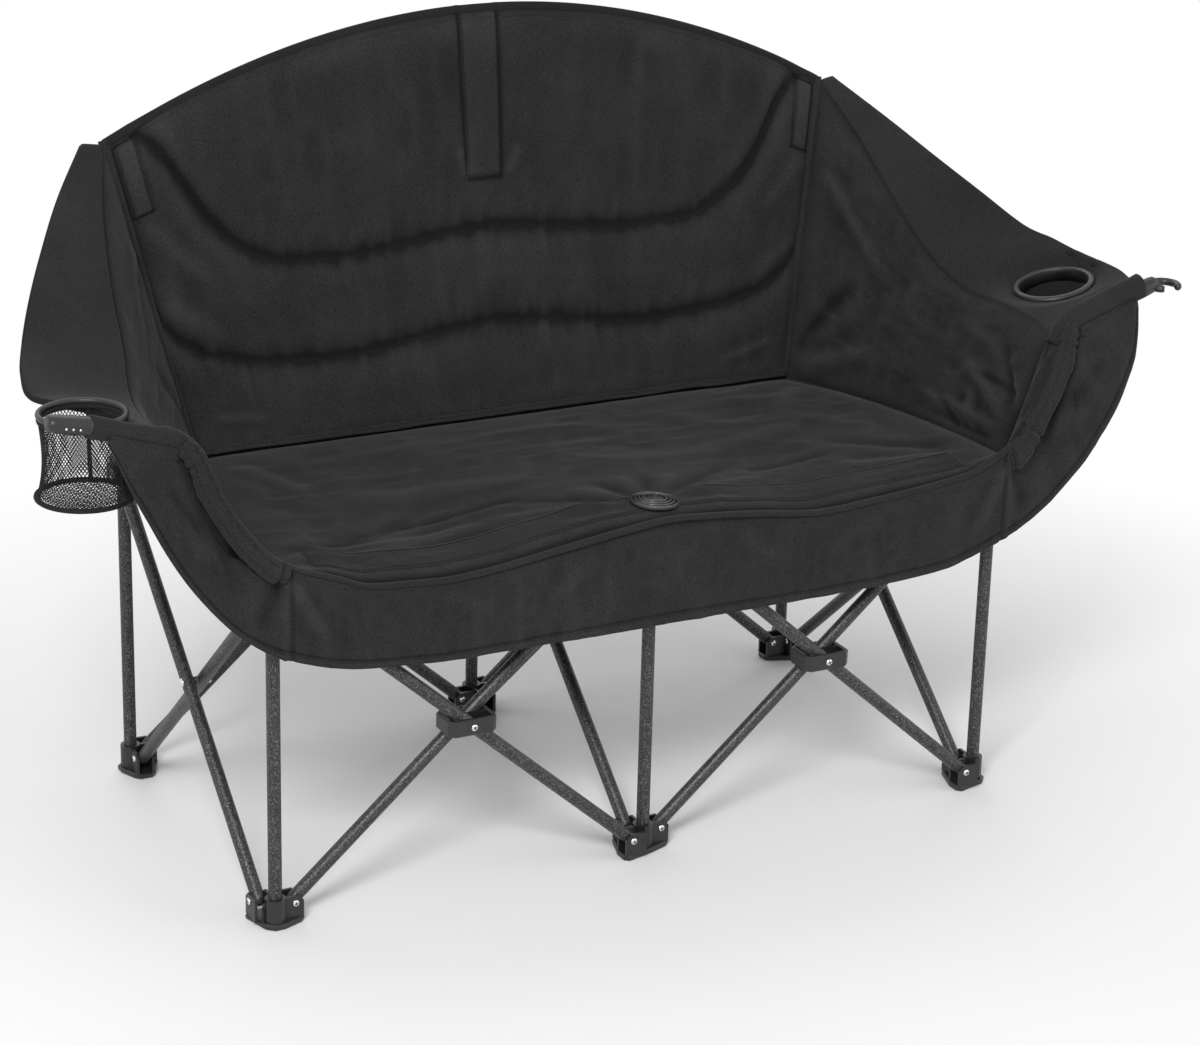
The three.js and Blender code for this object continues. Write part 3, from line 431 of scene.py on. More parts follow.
def cloth_material(name, dark, light, weave=1.0, sheen=0.07):
    """Tightly woven cloth: threads both ways, a little colour from thread to thread."""
    material, tree, shader, coords = new_material(name)
    uv = add_node(tree, "UVMap").outputs["UV"]
    wave = {"Vector": uv, "Scale": WEAVE * weave, "Distortion": 0.6, "Detail": 1}
    threads = [add_node(tree, "TexWave", wave, wave_type="BANDS", bands_direction=way).outputs["Fac"]
               for way in "XY"]
    grain, cloudy = noise_node(tree, coords, 560, 3, 0.7), noise_node(tree, coords, 9, 3)
    clouds = math_node(tree, "MULTIPLY", cloudy, 1 - GRAIN_SHARE)
    speckle = math_node(tree, "MULTIPLY_ADD", grain, GRAIN_SHARE, clouds)
    colour = ramp_node(tree, speckle, [(0.4, dark), (0.6, light)])
    # Painted light from the folds: the cloth's colour is darkened to 0.42 times in creases and lightened to
    # 1.5 times on puffs
    fold_shade = add_node(tree, "Attribute", attribute_name="fold_shade").outputs["Fac"]
    tone = ramp_node(tree, fold_shade, [(0.1, 0.42), (LEVEL, 1.0), (0.9, 1.5)])
    toned = add_node(tree, "VectorMath", {0: colour, 1: tone}, operation="MULTIPLY").outputs["Vector"]
    fine = bump_node(tree, math_node(tree, "MULTIPLY", *threads), 0.35, 0.0004)
    normal = bump_node(tree, cloudy, 0.12, 0.004, Normal=fine)
    feed(tree, shader, {"Base Color": toned, "Roughness": 0.94, "Sheen Weight": sheen, "Normal": normal,
                        "Sheen Roughness": 0.45, "Specular IOR Level": 0.14})
    return material


def hammertone():
    """Dark grey paint with the pale flecks and dimples of a hammered finish."""
    material, tree, shader, coords = new_material("hammertone_paint")
    cells = add_node(tree, "TexVoronoi", {"Vector": coords, "Scale": 330, "Smoothness": 0.6},
                     feature="SMOOTH_F1").outputs["Distance"]
    specks = noise_node(tree, coords, 560, 2, 0.75)
    colour = ramp_node(tree, specks, [(0.42, (0.013, 0.013, 0.014)), (0.53, (0.036, 0.036, 0.038)),
                                      (0.63, (0.12, 0.12, 0.125)), (0.76, (0.25, 0.25, 0.255))])
    feed(tree, shader, {"Base Color": colour, "Metallic": 0.2, "Roughness": 0.42,
                        "Normal": bump_node(tree, cells, 0.35, 0.0006)})
    return material


def plastic_material(name, dark, light, rough=0.42):
    """Moulded plastic with a faint grain."""
    material, tree, shader, coords = new_material(name)
    grain, wear = noise_node(tree, coords, 520, 3), noise_node(tree, coords, 40, 4)
    shine = ramp_node(tree, wear, [(0.3, rough - 0.06), (0.7, rough + 0.08)])
    feed(tree, shader, {"Base Color": ramp_node(tree, wear, [(0.35, dark), (0.7, light)]),
                        "Roughness": shine, "Normal": bump_node(tree, grain, 0.12, 0.0003)})
    return material


def steel():
    material, tree, shader, coords = new_material("bright_steel")
    scratches = noise_node(tree, coords, 700, 2)
    colour = ramp_node(tree, scratches, [(0.3, (0.62, 0.62, 0.63)), (0.7, (0.8, 0.8, 0.8))])
    feed(tree, shader, {"Base Color": colour, "Metallic": 1, "Roughness": 0.24,
                        "Normal": bump_node(tree, scratches, 0.1, 0.0002)})
    return material


CLOTH = cloth_material("black_cloth", (0.014, 0.014, 0.015), (0.029, 0.029, 0.030))
TAPE = cloth_material("binding_tape", (0.012, 0.012, 0.013), (0.020, 0.020, 0.021), 0.5, 0.04)
THREAD = cloth_material("sewing_thread", (0.006, 0.006, 0.006), (0.012, 0.012, 0.012), 2, 0.02)
NET = cloth_material("net_cord", (0.013, 0.013, 0.013), (0.024, 0.024, 0.024), 2, 0.03)
PAINT = hammertone()
PLASTIC = plastic_material("black_plastic", (0.012, 0.012, 0.013), (0.022, 0.022, 0.023))
# Lighter, glossier grey copy of the black plastic: painted highlight on the eyelet's ring crests
RING_HIGHLIGHT = plastic_material("eyelet_ring_highlight", (0.05, 0.05, 0.051), (0.09, 0.09, 0.092), 0.24)
STEEL = steel()
# Near-black copy of the plastic: painted shade, set in the screws' cross recesses and in the eyelet's bed
# between its rings
PAINTED_SHADE = plastic_material("recess", (0.004, 0.004, 0.004), (0.008, 0.008, 0.008), 0.6)

SLOT_MATERIAL = {"tube": PAINT, "bracket": PLASTIC, "cloth": CLOTH, "mesh": NET}
SLOT_OF = {part["node"]: part["material_slot"] for part in frame["record"]["subparts"]}
for name, piece in frame["nodes"].items():
    piece.data.materials.clear()
    piece.data.materials.append(SLOT_MATERIAL[SLOT_OF[name]])


# ---------- Riding and folding ----------

def attach(piece, body, slot, *nodes, padded=None):
    """A piece that moves as its body does, in place of nodes of the frame."""
    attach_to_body(piece, body)
    if nodes:
        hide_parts(*nodes)


def hang(piece, body, *nodes, padded=None):
    """A cloth piece that moves as its body does, with a mesh of its own."""
    attach(piece, body, "cloth", *nodes, padded=padded)
    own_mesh(piece)


def soft(piece, body, *nodes, **more):
    """A cloth piece on one body. A seam that runs from front to rear is cut in two at mid depth."""
    depths = [v.co.y for v in piece.data.vertices]
    if body == TOP and not nodes and max(depths) > (CUT_Y + CUT_SLACK) * MM:
        if min(depths) < (CUT_Y - CUT_SLACK) * MM:
            split(piece)
            return
        body = REAR
    hang(piece, body, *nodes, **more)


# ---------- Frame: round tubes, bars and screws ----------

PLACES = {f"{row}_{column}": (x, y) for row, y in (("front", 0), ("rear", DEPTH))
          for column, x in (("left", -BAY), ("middle", 0), ("right", BAY))}
# The plane of the bar that leaves a foot towards the left, right, rear or front. The bar that leaves
# the upper bracket the same way lies in the other plane.
FOOT_PLANE = {(-1, 0): AHEAD, (1, 0): BEHIND, (0, 1): AHEAD, (0, -1): BEHIND}
BOX_FACES = [(3, 2, 1, 0), (4, 5, 6, 7), (0, 1, 5, 4), (1, 2, 6, 5), (2, 3, 7, 6), (3, 0, 4, 7)]


def toward(direction):
    """The turn from straight up to a direction."""
    return Vector((0, 0, 1)).rotation_difference(Vector(direction)).to_matrix()


def screw(centre, direction):
    """A pan-head screw with a cross recess; it stands out along a direction."""
    head = [(0, 2.3), (1.6, 2.2), (3.0, 1.8), (4.0, 1.1), (4.4, 0.3), (4.4, -0.6), (0, -0.6)]
    turn, spin = toward(direction), np.array(Matrix.Rotation(0.4, 3, "Z"))
    pieces = [lathe("head", head, STEEL, 20, centre, turn)]
    # The cross recess is not cut: two near-black boxes on the head paint its shade
    for a, b in ((2.5, 0.5), (0.5, 2.5)):
        corners = [(x, y, z) for z in (1.7, 2.42) for x, y in ((-a, -b), (a, -b), (a, b), (-a, b))]
        corners = np.array(corners) @ spin.T @ np.array(turn).T + np.array(centre)
        pieces.append(mesh_object("recess", corners, BOX_FACES, PAINTED_SHADE, smooth=False))
    return join("head", pieces)


def ear_screws(place, z, upper):
    """Screws on the outer faces of a bracket's ears, two for each bar that it holds."""
    px, py = PLACES[place]
    ways = [(way, 0) for way in (-1, 1) if abs(px + way * BAY) <= BAY] + [(0, -1 if py else 1)]
    heads = []
    for dx, dy in ways:
        plane = BEHIND + AHEAD - FOOT_PLANE[dx, dy] if upper else FOOT_PLANE[dx, dy]
        for sign in (-1, 1):
            off = plane + sign * EAR_OUT
            if dx:
                heads.append(screw((px + dx * PIVOT_OFFSET, py + off, z), (0, sign, 0)))
            else:
                heads.append(screw((px + off, py + dy * PIVOT_OFFSET, z), (sign, 0, 0)))
    return heads


def bracket_screws():
    for level, z in (("foot", LOW_PIVOT), ("top", HIGH_PIVOT)):
        for place in PLACES:
            upper = "top" if place.startswith("front") else "slide"
            body = "base" if level == "foot" else upper
            heads = ear_screws(place, z, level == "top")
            attach(join(f"screws_{level}_{place}", heads), f"{place}_{body}", "tube")


def bar_ends(name):
    """Middle of a bar's lower and upper pivot, from its name."""
    row, column, letter = name.split("_")[1:]
    first = letter in "ac"
    if row == "side":
        x = {"left": -BAY, "middle": 0, "right": BAY}[column] + (AHEAD if first else BEHIND)
        low, high = (PIVOT_OFFSET, DEPTH - PIVOT_OFFSET)[::1 if first else -1]
        return (x, low, LOW_PIVOT), (x, high, HIGH_PIVOT)
    y = (0 if row == "front" else DEPTH) + (BEHIND if first else AHEAD)
    start = -BAY if column == "left" else 0
    low, high = (start + PIVOT_OFFSET, start + BAY - PIVOT_OFFSET)[::1 if first else -1]
    return (low, y, LOW_PIVOT), (high, y, HIGH_PIVOT)


def round_bar(name, low, high):
    """A round tube with domed ends."""
    low, high = Vector(low), Vector(high)
    length = (high - low).length
    r = TUBE_R
    arc = [math.pi / 2 * k / 6 for k in range(7)]
    profile = [(r * math.sin(a), -r * math.cos(a)) for a in arc]
    profile += [(r * math.cos(a), length + r * math.sin(a)) for a in arc]
    return lathe(name, profile, PAINT, 28, low, toward(high - low))


def rivet(centre, direction, radius=5.6, high=2.2):
    profile = [(0, high), (radius * 0.5, high * 0.9), (radius * 0.85, high * 0.5), (radius, 0),
               (radius, -1), (0, -1)]
    return lathe("rivet", profile, STEEL, 20, centre, toward(direction))


def frame_bars():
    for name in [n for n in frame["nodes"] if n.startswith("bar_")]:
        low, high = bar_ends(name)
        pieces = [round_bar(name, low, high)]
        if name.startswith("bar_side") and name.endswith("c"):
            middle = (Vector(low) + Vector(high)) / 2
            far = BEHIND - AHEAD + TUBE_R
            pieces.append(rivet(middle + Vector((far + 0.2, 0, 0)), (1, 0, 0)))
            pieces.append(rivet(middle - Vector((TUBE_R - 0.3, 0, 0)), (-1, 0, 0)))
            pin = [(0, 0), (5, 0), (5, far - TUBE_R), (0, far - TUBE_R)]
            pieces.append(lathe("pin", pin, PAINT, 16, middle + Vector((TUBE_R - 1, 0, 0)),
                                Matrix.Rotation(math.pi / 2, 3, "Y")))
        attach(join(f"round_{name}", pieces), name[4:], "tube", name)


def turned(name, radius, low, high, place, material=PAINT):
    x, y = place
    profile = [(0, low), (radius, low), (radius, high), (0, high)]
    return lathe(name, profile, material, 32, (x, y, 0), crisp=40)


def frame_posts():
    for place, xy in PLACES.items():
        front = place.startswith("front")
        word, top = ("post", POST_HIGH) if front else ("pole", CORNER_POLE)
        if place == "rear_middle":
            top = MIDDLE_POLE
        post = turned(f"round_{word}_{place}", TUBE_R, POST_LOW, top, xy)
        attach(post, f"{place}_base", "tube", f"{word}_{place}")
        if front:
            tube = turned(f"round_top_tube_{place}", TOP_TUBE_R, TOP_TUBE_LOW, TOP_TUBE_HIGH, xy)
            attach(tube, f"{place}_top", "tube", f"top_tube_{place}")


def hub_screws():
    for row, y in (("front", 0), ("rear", DEPTH)):
        for column, x in (("left", -BAY / 2), ("right", BAY / 2)):
            heads = [screw((x, y + AHEAD - HUB_OUT, HUB_Z), (0, -1, 0)),
                     screw((x, y + BEHIND + HUB_OUT, HUB_Z), (0, 1, 0))]
            attach(join(f"screws_hub_{row}_{column}", heads), f"{row}_{column}_hub", "tube")


frame_bars()
frame_posts()
bracket_screws()
hub_screws()


# ---------- Cloth shell: its curves ----------

def top_edge(x):
    return CROWN_Z - (CROWN_Z - CORNER_Z) * (x / CORNER_X) ** 2


# Places on a wing's two edges: share of the depth, then of the way across and of the way up
INNER_SEAM_SHARES = [
    (0, 0, 0), (0.1, -0.17, 0.005), (0.25, -0.24, 0.01), (0.42, -0.07, 0.03),
    (0.56, 0.18, 0.175), (0.71, 0.36, 0.42), (0.855, 0.61, 0.72), (0.985, 0.96, 0.98),
]
OUTER_EDGE_SHARES = [
    (0, 0.9, 0.06), (0.11, 0.985, 0.05), (0.23, 1, 0.055), (0.36, 0.93, 0.115), (0.49, 0.83, 0.19),
    (0.62, 0.69, 0.36), (0.745, 0.53, 0.545), (0.87, 0.35, 0.75), (1, 0.12, 0.985),
]
# The left edge goes round the cup holder before it runs to the corner
CUP_EDGE = [(-618, 12, 600), (-616, 42, 601), (-624, 80, 607), (-646, 107, 614), (-677, 120, 621),
            (-703, 138, 627)]
SIDE_FRONT_Y = SLEEVE_R + 0.4


def inner_seam(side):
    return through([(side * mix(ARM_SEAM_X, CORNER_X, x), mix(SIDE_FRONT_Y, DEPTH, y),
                     mix(ARM_SEAM_Z, CORNER_Z, z)) for y, x, z in INNER_SEAM_SHARES])


def outer_edge(side):
    points = [(side * mix(CORNER_X, ARM_OUT_X, x), mix(SIDE_FRONT_Y, DEPTH, y),
               mix(ARM_OUT_Z, CORNER_Z, z)) for y, x, z in OUTER_EDGE_SHARES]
    return through(CUP_EDGE + points[3:] if side < 0 else points)


seat_sag = lookup(
    [-505, -460, -414, -386, -332, -276, -226, -155, -53, 0, 60, 117, 207, 297, 388, 430, 460, 505],
    [0, -3, -9, -18, -22, -24, -20, -10, 4, 9, 5, -1, -13, -10, -6, -5, 0, 0])


def seat_lift(x):
    return 44 * (np.abs(x) / SEAT_FRONT_X) ** 10


def seat_edge(x):
    """Height of the seat's front edge."""
    return SEAT_Z - 3 + seat_sag(x) + seat_lift(x)


def seat_half(v):
    return mix(SEAT_FRONT_X, SEAT_BACK_X, np.clip(v, 0, 1) ** SEAT_TAPER)


def seat_share(y):
    return (y - SEAT_FRONT_Y) / SEAT_DEEP


def seat_middle(u, v):
    half = seat_half(v)
    x = mix(-half, half, u)
    y = mix(SEAT_FRONT_Y, SEAT_BACK_Y, v)
    lift = seat_lift(x) * np.clip(-y / -SEAT_FRONT_Y, 0, 1) ** 2
    y = y - 4 * np.cos(np.pi * x / BAY) * (1 - v) ** 6
    return np.stack([x, y, SEAT_Z - 3 + seat_sag(x) * (1 - v) ** 1.5 + lift], -1)


def back_edge_x(v):
    return mix(SEAT_BACK_X, CORNER_X, v)


def back_surface(u, v):
    side = u * 2 - 1
    x = side * back_edge_x(v)
    y = mix(SEAT_BACK_Y, DEPTH, v) + 12 * (1 - side ** 2) * np.sin(np.pi * v)
    z = mix(SEAT_Z, top_edge(side * CORNER_X), v)
    return np.stack([x, y, z], -1)


def coons(lower, upper, start, end):
    """A surface between four edges."""
    a, b = lower(np.zeros(1))[0], lower(np.ones(1))[0]
    c, d = upper(np.zeros(1))[0], upper(np.ones(1))[0]

    def at(u, v):
        u, v = np.asarray(u, float), np.asarray(v, float)
        uu, vv = u[..., None], v[..., None]
        across = lower(u) * (1 - vv) + upper(u) * vv
        along = start(v) * (1 - uu) + end(v) * uu
        both = a * (1 - uu) * (1 - vv) + b * uu * (1 - vv) + c * (1 - uu) * vv + d * uu * vv
        return across + along - both
    return at


def straight(a, b):
    a, b = np.array(a, float), np.array(b, float)
    return lambda t: a + (b - a) * np.asarray(t)[..., None]


def between(lower, upper):
    """A surface between two curves, with straight ends."""
    ends = [f(np.array([t]))[0] for f in (lower, upper) for t in (0.0, 1.0)]
    return coons(lower, upper, straight(ends[0], ends[2]), straight(ends[1], ends[3]))


def seat_side(side):
    """The seam between the seat and a side."""
    def at(t):
        v = mix(seat_share(SIDE_FRONT_Y), 1, np.asarray(t, float))
        return np.stack([side * seat_half(v), mix(SEAT_FRONT_Y, SEAT_BACK_Y, v), SEAT_Z + 0 * v], -1)
    return at


def side_surface(side):
    return between(seat_side(side), inner_seam(side))


BOTTLE = np.array([657, 142, 603.0])  # middle of the bottle ring
BOTTLE_TILT = math.pi / 14
BOTTLE_HOLE = 48  # radius of the opening in the wing, under the ring


def wing_surface(side):
    bare = between(inner_seam(side), outer_edge(side))
    if side < 0:
        return bare

    def at(u, v):
        """The right wing lies flat under the bottle ring and reaches past it."""
        p = bare(u, v)
        v = np.asarray(v, float)
        from_ring = p[..., :2] - BOTTLE[:2]
        away = np.hypot(from_ring[..., 0], from_ring[..., 1])
        reach = 13 * ease((112 - away) / 50) * ease((v - 0.45) / 0.5)
        x, y = np.moveaxis(p[..., :2] + from_ring / away[..., None] * reach[..., None], -1, 0)
        away = away + reach
        plane = BOTTLE[2] + (x - BOTTLE[0]) * math.tan(BOTTLE_TILT) - 4
        lip = ease((away - 54) / 12) * ease((v - 0.6) / 0.3)  # the edge beyond the ring turns up
        near = ease((84 - away) / 32) * (1 - 0.8 * lip)
        return np.stack([x, y, mix(p[..., 2], plane, near)], -1)
    return at


# Front rim on an arm: up from the seat's corner to the arm tube's bend
ARM_RIM = [(476, -41, 447), (492, -42, 452), (508, -39, 466), (521, -34, 481), (540, -30, 508),
           (556, -27, 537), (566, -24, 562), (573, -20, 583), (584, -11, 603)]
RIM_WIDE = {-1: 12.5, 1: 15}
RIM_HIGH = {-1: 7.6, 1: 6.2}
RIM_IN = {-1: 0, 1: 6}  # how far the rim is drawn in towards the seat


def arm_rim(side):
    return through([(side * x, y, z) for x, y, z in ARM_RIM])


def cuff_surface(side):
    """Cloth that wraps the arm tube's lower leg, from the side cushion to the front rim."""
    rear = straight(seat_side(side)(np.zeros(1))[0], inner_seam(side)(np.zeros(1))[0])
    front = arm_rim(side)
    bare = between(rear, lambda t: front(mix(0.28, 1, np.asarray(t, float))))

    def at(u, v):
        p = bare(u, v)
        bulge = 9 * np.sin(np.pi * np.clip(v, 0, 1)) * (0.55 + 0.45 * np.sin(np.pi * np.clip(u, 0, 1)))
        return p - np.stack([side * bulge, 0 * bulge, 0 * bulge], -1)
    return at


def arm_knot(side):
    """Where the arm tube bends."""
    return np.array([side * KNOT_X, 0, KNOT_Z])


def arm_end(side):
    return np.array([side * ARM_END_X, 0, ARM_END_Z])


def arm_path(side, count=60):
    """The arm tube's middle line."""
    foot = Vector((side * (BAY + 32), 0, HIGH_PIVOT))
    knot, end = Vector(arm_knot(side)), Vector(arm_end(side))
    before, after = knot.lerp(foot, 0.2), knot.lerp(end, 0.2)
    points = [foot.lerp(before, i / count) for i in range(count)]
    for i in range(count // 2):
        t = i / (count // 2)
        points.append(before * (1 - t) ** 2 + knot * 2 * t * (1 - t) + after * t * t)
    points += [after.lerp(end, i / count) for i in range(count + 1)]
    return np.array([tuple(p) for p in points])


def resample(path, step):
    """Points along a path at equal steps."""
    path = np.asarray(path, float)
    length = distances(path)
    places = np.linspace(0, length[-1], max(2, int(length[-1] / step) + 1))
    return np.stack([np.interp(places, length, path[:, k]) for k in range(path.shape[1])], -1)


# ---------- Stitching ----------

THREADS = {}


def skin(surface, up, flip=False):
    """Points on a pad's outer side and the way out there, at any shares."""
    def at(u, v, lift=0.0):
        u, v = np.broadcast_arrays(np.asarray(u, float), np.asarray(v, float))
        e = 1.5e-3
        du = surface(np.clip(u + e, 0, 1), v) - surface(np.clip(u - e, 0, 1), v)
        dv = surface(u, np.clip(v + e, 0, 1)) - surface(u, np.clip(v - e, 0, 1))
        n = unit(np.cross(du, dv)) * (-1 if flip else 1)
        return surface(u, v) + n * (np.asarray(up(u, v)) + lift)[..., None], n
    return at


def lifted(at, height):
    """The same skin, a little further out."""
    return lambda u, v, lift=0.0: at(u, v, lift + height)


def spread(w, count):
    """Shares along a line, from a number, a (start, end) pair or an array."""
    if isinstance(w, tuple):
        return np.linspace(w[0], w[1], count)
    return np.broadcast_to(np.asarray(w, float), (count,))


def stitches(body, points, normals, pitch=4.6, length=3.5, radius=0.55):
    """A row of threads along a line; all the rows on a body are made as one piece."""
    both = resample(np.hstack([points, normals]), pitch)
    p, n = both[:, :3], unit(both[:, 3:])
    t = directions(p)
    s = np.cross(t, n)
    p = p + n * 0.1
    rows = [p - t * length / 2 - n * 0.3, p + t * length / 2 - n * 0.3,
            p + s * radius + n * 0.05, p + n * radius, p - s * radius + n * 0.05, p - n * radius]
    rows = np.stack(rows, 1)
    far = (body == TOP) & (p[:, 1] > CUT_Y)
    for word, part in ((REAR, rows[far]), (body, rows[~far])):
        if len(part):
            THREADS.setdefault(word, []).append(part.reshape(-1, 3))


def sew(body, at, u, v, count=400):
    """Stitches on a skin along a line between shares."""
    stitches(body, *at(spread(u, count), spread(v, count)))


def make_threads():
    for body, rows in THREADS.items():
        verts = np.vstack(rows)
        faces = []
        for k in range(0, len(verts), 6):
            ring = range(k + 2, k + 6)
            for a, b in zip(ring, (*ring[1:], ring[0])):
                faces += [(k, a, b), (k + 1, b, a)]
        piece = mesh_object(f"stitching_{body}", verts, faces, THREAD)
        if body.endswith("_arm"):
            attach(piece, body, "cloth")
        else:
            hang(piece, body)


def tape(name, body, at, u, v, material, half_wide, half_high, inset=0.0, count=220, sides=12):
    """A strip sewn along a line on a skin; inset moves it sideways."""
    p, n = at(spread(u, count), spread(v, count))
    s = unit(np.cross(n, directions(p)))
    soft(sweep(name, p + s * inset, s, n, material, half_wide, half_high, sides), body)


# ---------- Back ----------

BACK_HALF = 460  # half the back's mean width
low_channel = lookup([0, 0.03, 0.09, 0.2, 0.35, 0.5, 0.8, 1],
                     [0.47, 0.39, 0.32, 0.262, 0.228, 0.21, 0.225, 0.24])
high_channel = lookup([0, 0.06, 0.12, 0.18, 0.25, 0.33, 0.5, 0.75, 0.9, 1],
                      [1.06, 0.99, 0.88, 0.7, 0.58, 0.51, 0.462, 0.452, 0.462, 0.466])
BACK_HIGH = CROWN_Z - SEAT_Z
SLEEVE_FOOT = 0.583  # where the middle pole's sleeve begins, as a share of the back's height
SLEEVE_X = (-32, 17)  # its two seams
SLEEVE_PAST = 14  # from a pole's end to the end of its sleeve
POCKET = (428, 453, 0.745, 0.965)  # sewn patch over a corner pole: inner and outer edge, foot and head
BACK_FOLDS = [((-30, 300), (-44, 350), 7, 1.6), ((24, 300), (44, 345), 7, 1.4),
              ((-450, 380), (-380, 240), 12, 2.4), ((450, 385), (385, 250), 12, 2.4),
              ((-455, 250), (-370, 150), 14, 2.2), ((452, 240), (380, 150), 14, 2.0),
              ((-430, 60), (-330, 40), 9, 1.6), ((432, 70), (330, 36), 9, 1.8)]


def channel_profile(d, width=30):
    """Height share of a quilted puff at a distance from its sewn line."""
    return 1 - np.exp(-np.abs(d) / width)


def back_share(x):
    return x / (2 * BACK_HALF) + 0.5


def back_front(u, v):
    """Thickness of the back's sitting side."""
    side = u * 2 - 1
    inward = 1 - np.abs(side)
    x, z = side * BACK_HALF, v * BACK_HIGH
    d_low, d_high = (v - low_channel(inward)) * BACK_HIGH, (v - high_channel(inward)) * BACK_HIGH
    seams = np.minimum(np.abs(d_low), np.abs(d_high))
    puff = channel_profile(seams, 24)
    puff = puff * channel_profile(z, 14) * channel_profile((1 - v) * BACK_HIGH + 6, 18)
    puff = puff * channel_profile(inward * BACK_HALF + 6, 22)
    gather = np.exp(-seams / 24) * (1.1 * field(x, z * 0.3, 17, 3) + 0.9 * field(x, z * 0.3, 8, 4))
    hem = np.exp(-z / 22) * (1.4 * field(x, z * 0.3, 19, 14) + 0.8 * field(x, z * 0.3, 9, 15))
    drape = 2.4 * field(x, z, 130, 5) + 1.3 * ridge(x, z * 0.6, 70, 6) + 0.7 * ridge(x, z * 0.45, 30, 7)
    low, high = SLEEVE_X
    sleeve = ease((v - SLEEVE_FOOT) / 0.02) * ease((x - low) / 5) * (1 - ease((x - high + 5) / 5))
    sewn = (bump(x - low, 2.4) + bump(x - high, 2.4)) * ease((v - SLEEVE_FOOT) / 0.015)
    sewn = sewn + bump((v - SLEEVE_FOOT) * BACK_HIGH, 2.4) * (x > low) * (x < high)
    inner, outer, foot, head = POCKET
    across = np.abs(x)
    pocket = ease((across - inner) / 4) * (1 - ease((across - outer + 4) / 4))
    pocket = pocket * ease((v - foot) / 0.01) * (1 - ease((v - head + 0.01) / 0.01))
    upright = (bump(across - inner, 2) + bump(across - outer, 2)) * (v > foot) * (v < head)
    level = bump((v - foot) * BACK_HIGH, 2.2) + bump((v - head) * BACK_HIGH, 2.2)
    outline = upright + level * (across > inner) * (across < outer)
    folds = creases(x, z, BACK_FOLDS)
    return (2 + 14 * puff + 1.5 * gather + 1.3 * hem + (drape + 1.6 * folds) * puff
            + 1.8 * (sleeve + pocket) - 3.2 * (sewn + outline))


def back_rear(u, v):
    side = u * 2 - 1
    edge = channel_profile((1 - np.abs(side)) * BACK_HALF, 20) * channel_profile(v * BACK_HIGH, 20)
    edge = edge * channel_profile((1 - v) * BACK_HIGH, 20)
    return 2 + 5 * edge + 1.4 * field(side * BACK_HALF, v * BACK_HIGH, 110, 8) * edge


def pole_sleeve(name, x, low, high, top_radius=11.5):
    """Cloth sleeve behind the back that a pole's end stands in."""
    path = np.stack([np.full(60, x), np.full(60, DEPTH), np.linspace(low, high, 60)], -1)

    def radius(along, angle):
        wrinkle = 0.9 * field(along, angle * 11, 16, 51) + 0.5 * field(along, angle * 11, 7, 52)
        close = ease((high - low - along) / 10) * 0.55 + 0.45
        return (top_radius + wrinkle) * close
    soft(cloth_tube(name, path, radius, CLOTH), REAR)


def cloth_tube(name, path, radius, material, count=36):
    """A closed cloth tube along a path. radius(along, angle) gives its size; angle 0 is up or forward."""
    path = resample(path, 2.5)
    t = directions(path)
    side = unit(np.cross(t, np.array([0, 1.0, 0])))
    other = np.cross(t, side)
    a, g = np.meshgrid(distances(path), np.arange(count) * TAU / count, indexing="ij")
    r = radius(a, g)[..., None]
    ring = path[:, None] + r * (side[:, None] * np.cos(g)[..., None] + other[:, None] * np.sin(g)[..., None])
    uv = np.stack([a, g * 11], -1).reshape(-1, 2)
    piece = mesh_object(name, ring.reshape(-1, 3), tube_faces(len(path), count), material, uv=uv)
    fix_normals(piece)
    return piece


def make_back():
    back = pad("back_cushion", back_surface, back_front, back_rear, 300, 170, CLOTH)
    soft(back, REAR, "back_pad", padded=0.6)
    at = skin(back_surface, back_front)
    tape("binding_back", REAR, at, (0, 1), 1.0, TAPE, 6.5, 4.6, inset=-5)
    for side, word in WORD.items():
        tape(f"seam_back_{word}", REAR, at, (side + 1) / 2, (0, 1), CLOTH, 6, 6)
    sew(REAR, at, (0.01, 0.99), 1 - 16 / BACK_HIGH)
    for ends, channel in (((0.01, 0.99), low_channel), ((0.045, 0.955), high_channel)):
        inward = 1 - np.abs(np.linspace(*ends, 700) * 2 - 1)
        sew(REAR, at, ends, channel(inward), count=700)
    for x in SLEEVE_X:
        for off in (-3.2, 3.2):
            sew(REAR, at, back_share(x + off), (SLEEVE_FOOT, 0.98))
    sew(REAR, at, tuple(back_share(x) for x in SLEEVE_X), SLEEVE_FOOT)
    inner, outer, foot, head = POCKET
    for side in WORD:
        near, far = back_share(side * (inner + 3)), back_share(side * (outer - 3))
        sew(REAR, at, near, (foot, head))
        sew(REAR, at, far, (foot, head))
        for v in (foot + 0.006, head - 0.006):
            sew(REAR, at, (near, far), v)
    sew(REAR, at, (0.02, 0.98), 9 / BACK_HIGH)
    pole_sleeve("pole_sleeve_middle", 0, 715, MIDDLE_POLE + SLEEVE_PAST)
    for side, word in WORD.items():
        pole_sleeve(f"pole_sleeve_{word}", side * BAY, 690, CORNER_POLE + SLEEVE_PAST)


# ---------- Seat ----------

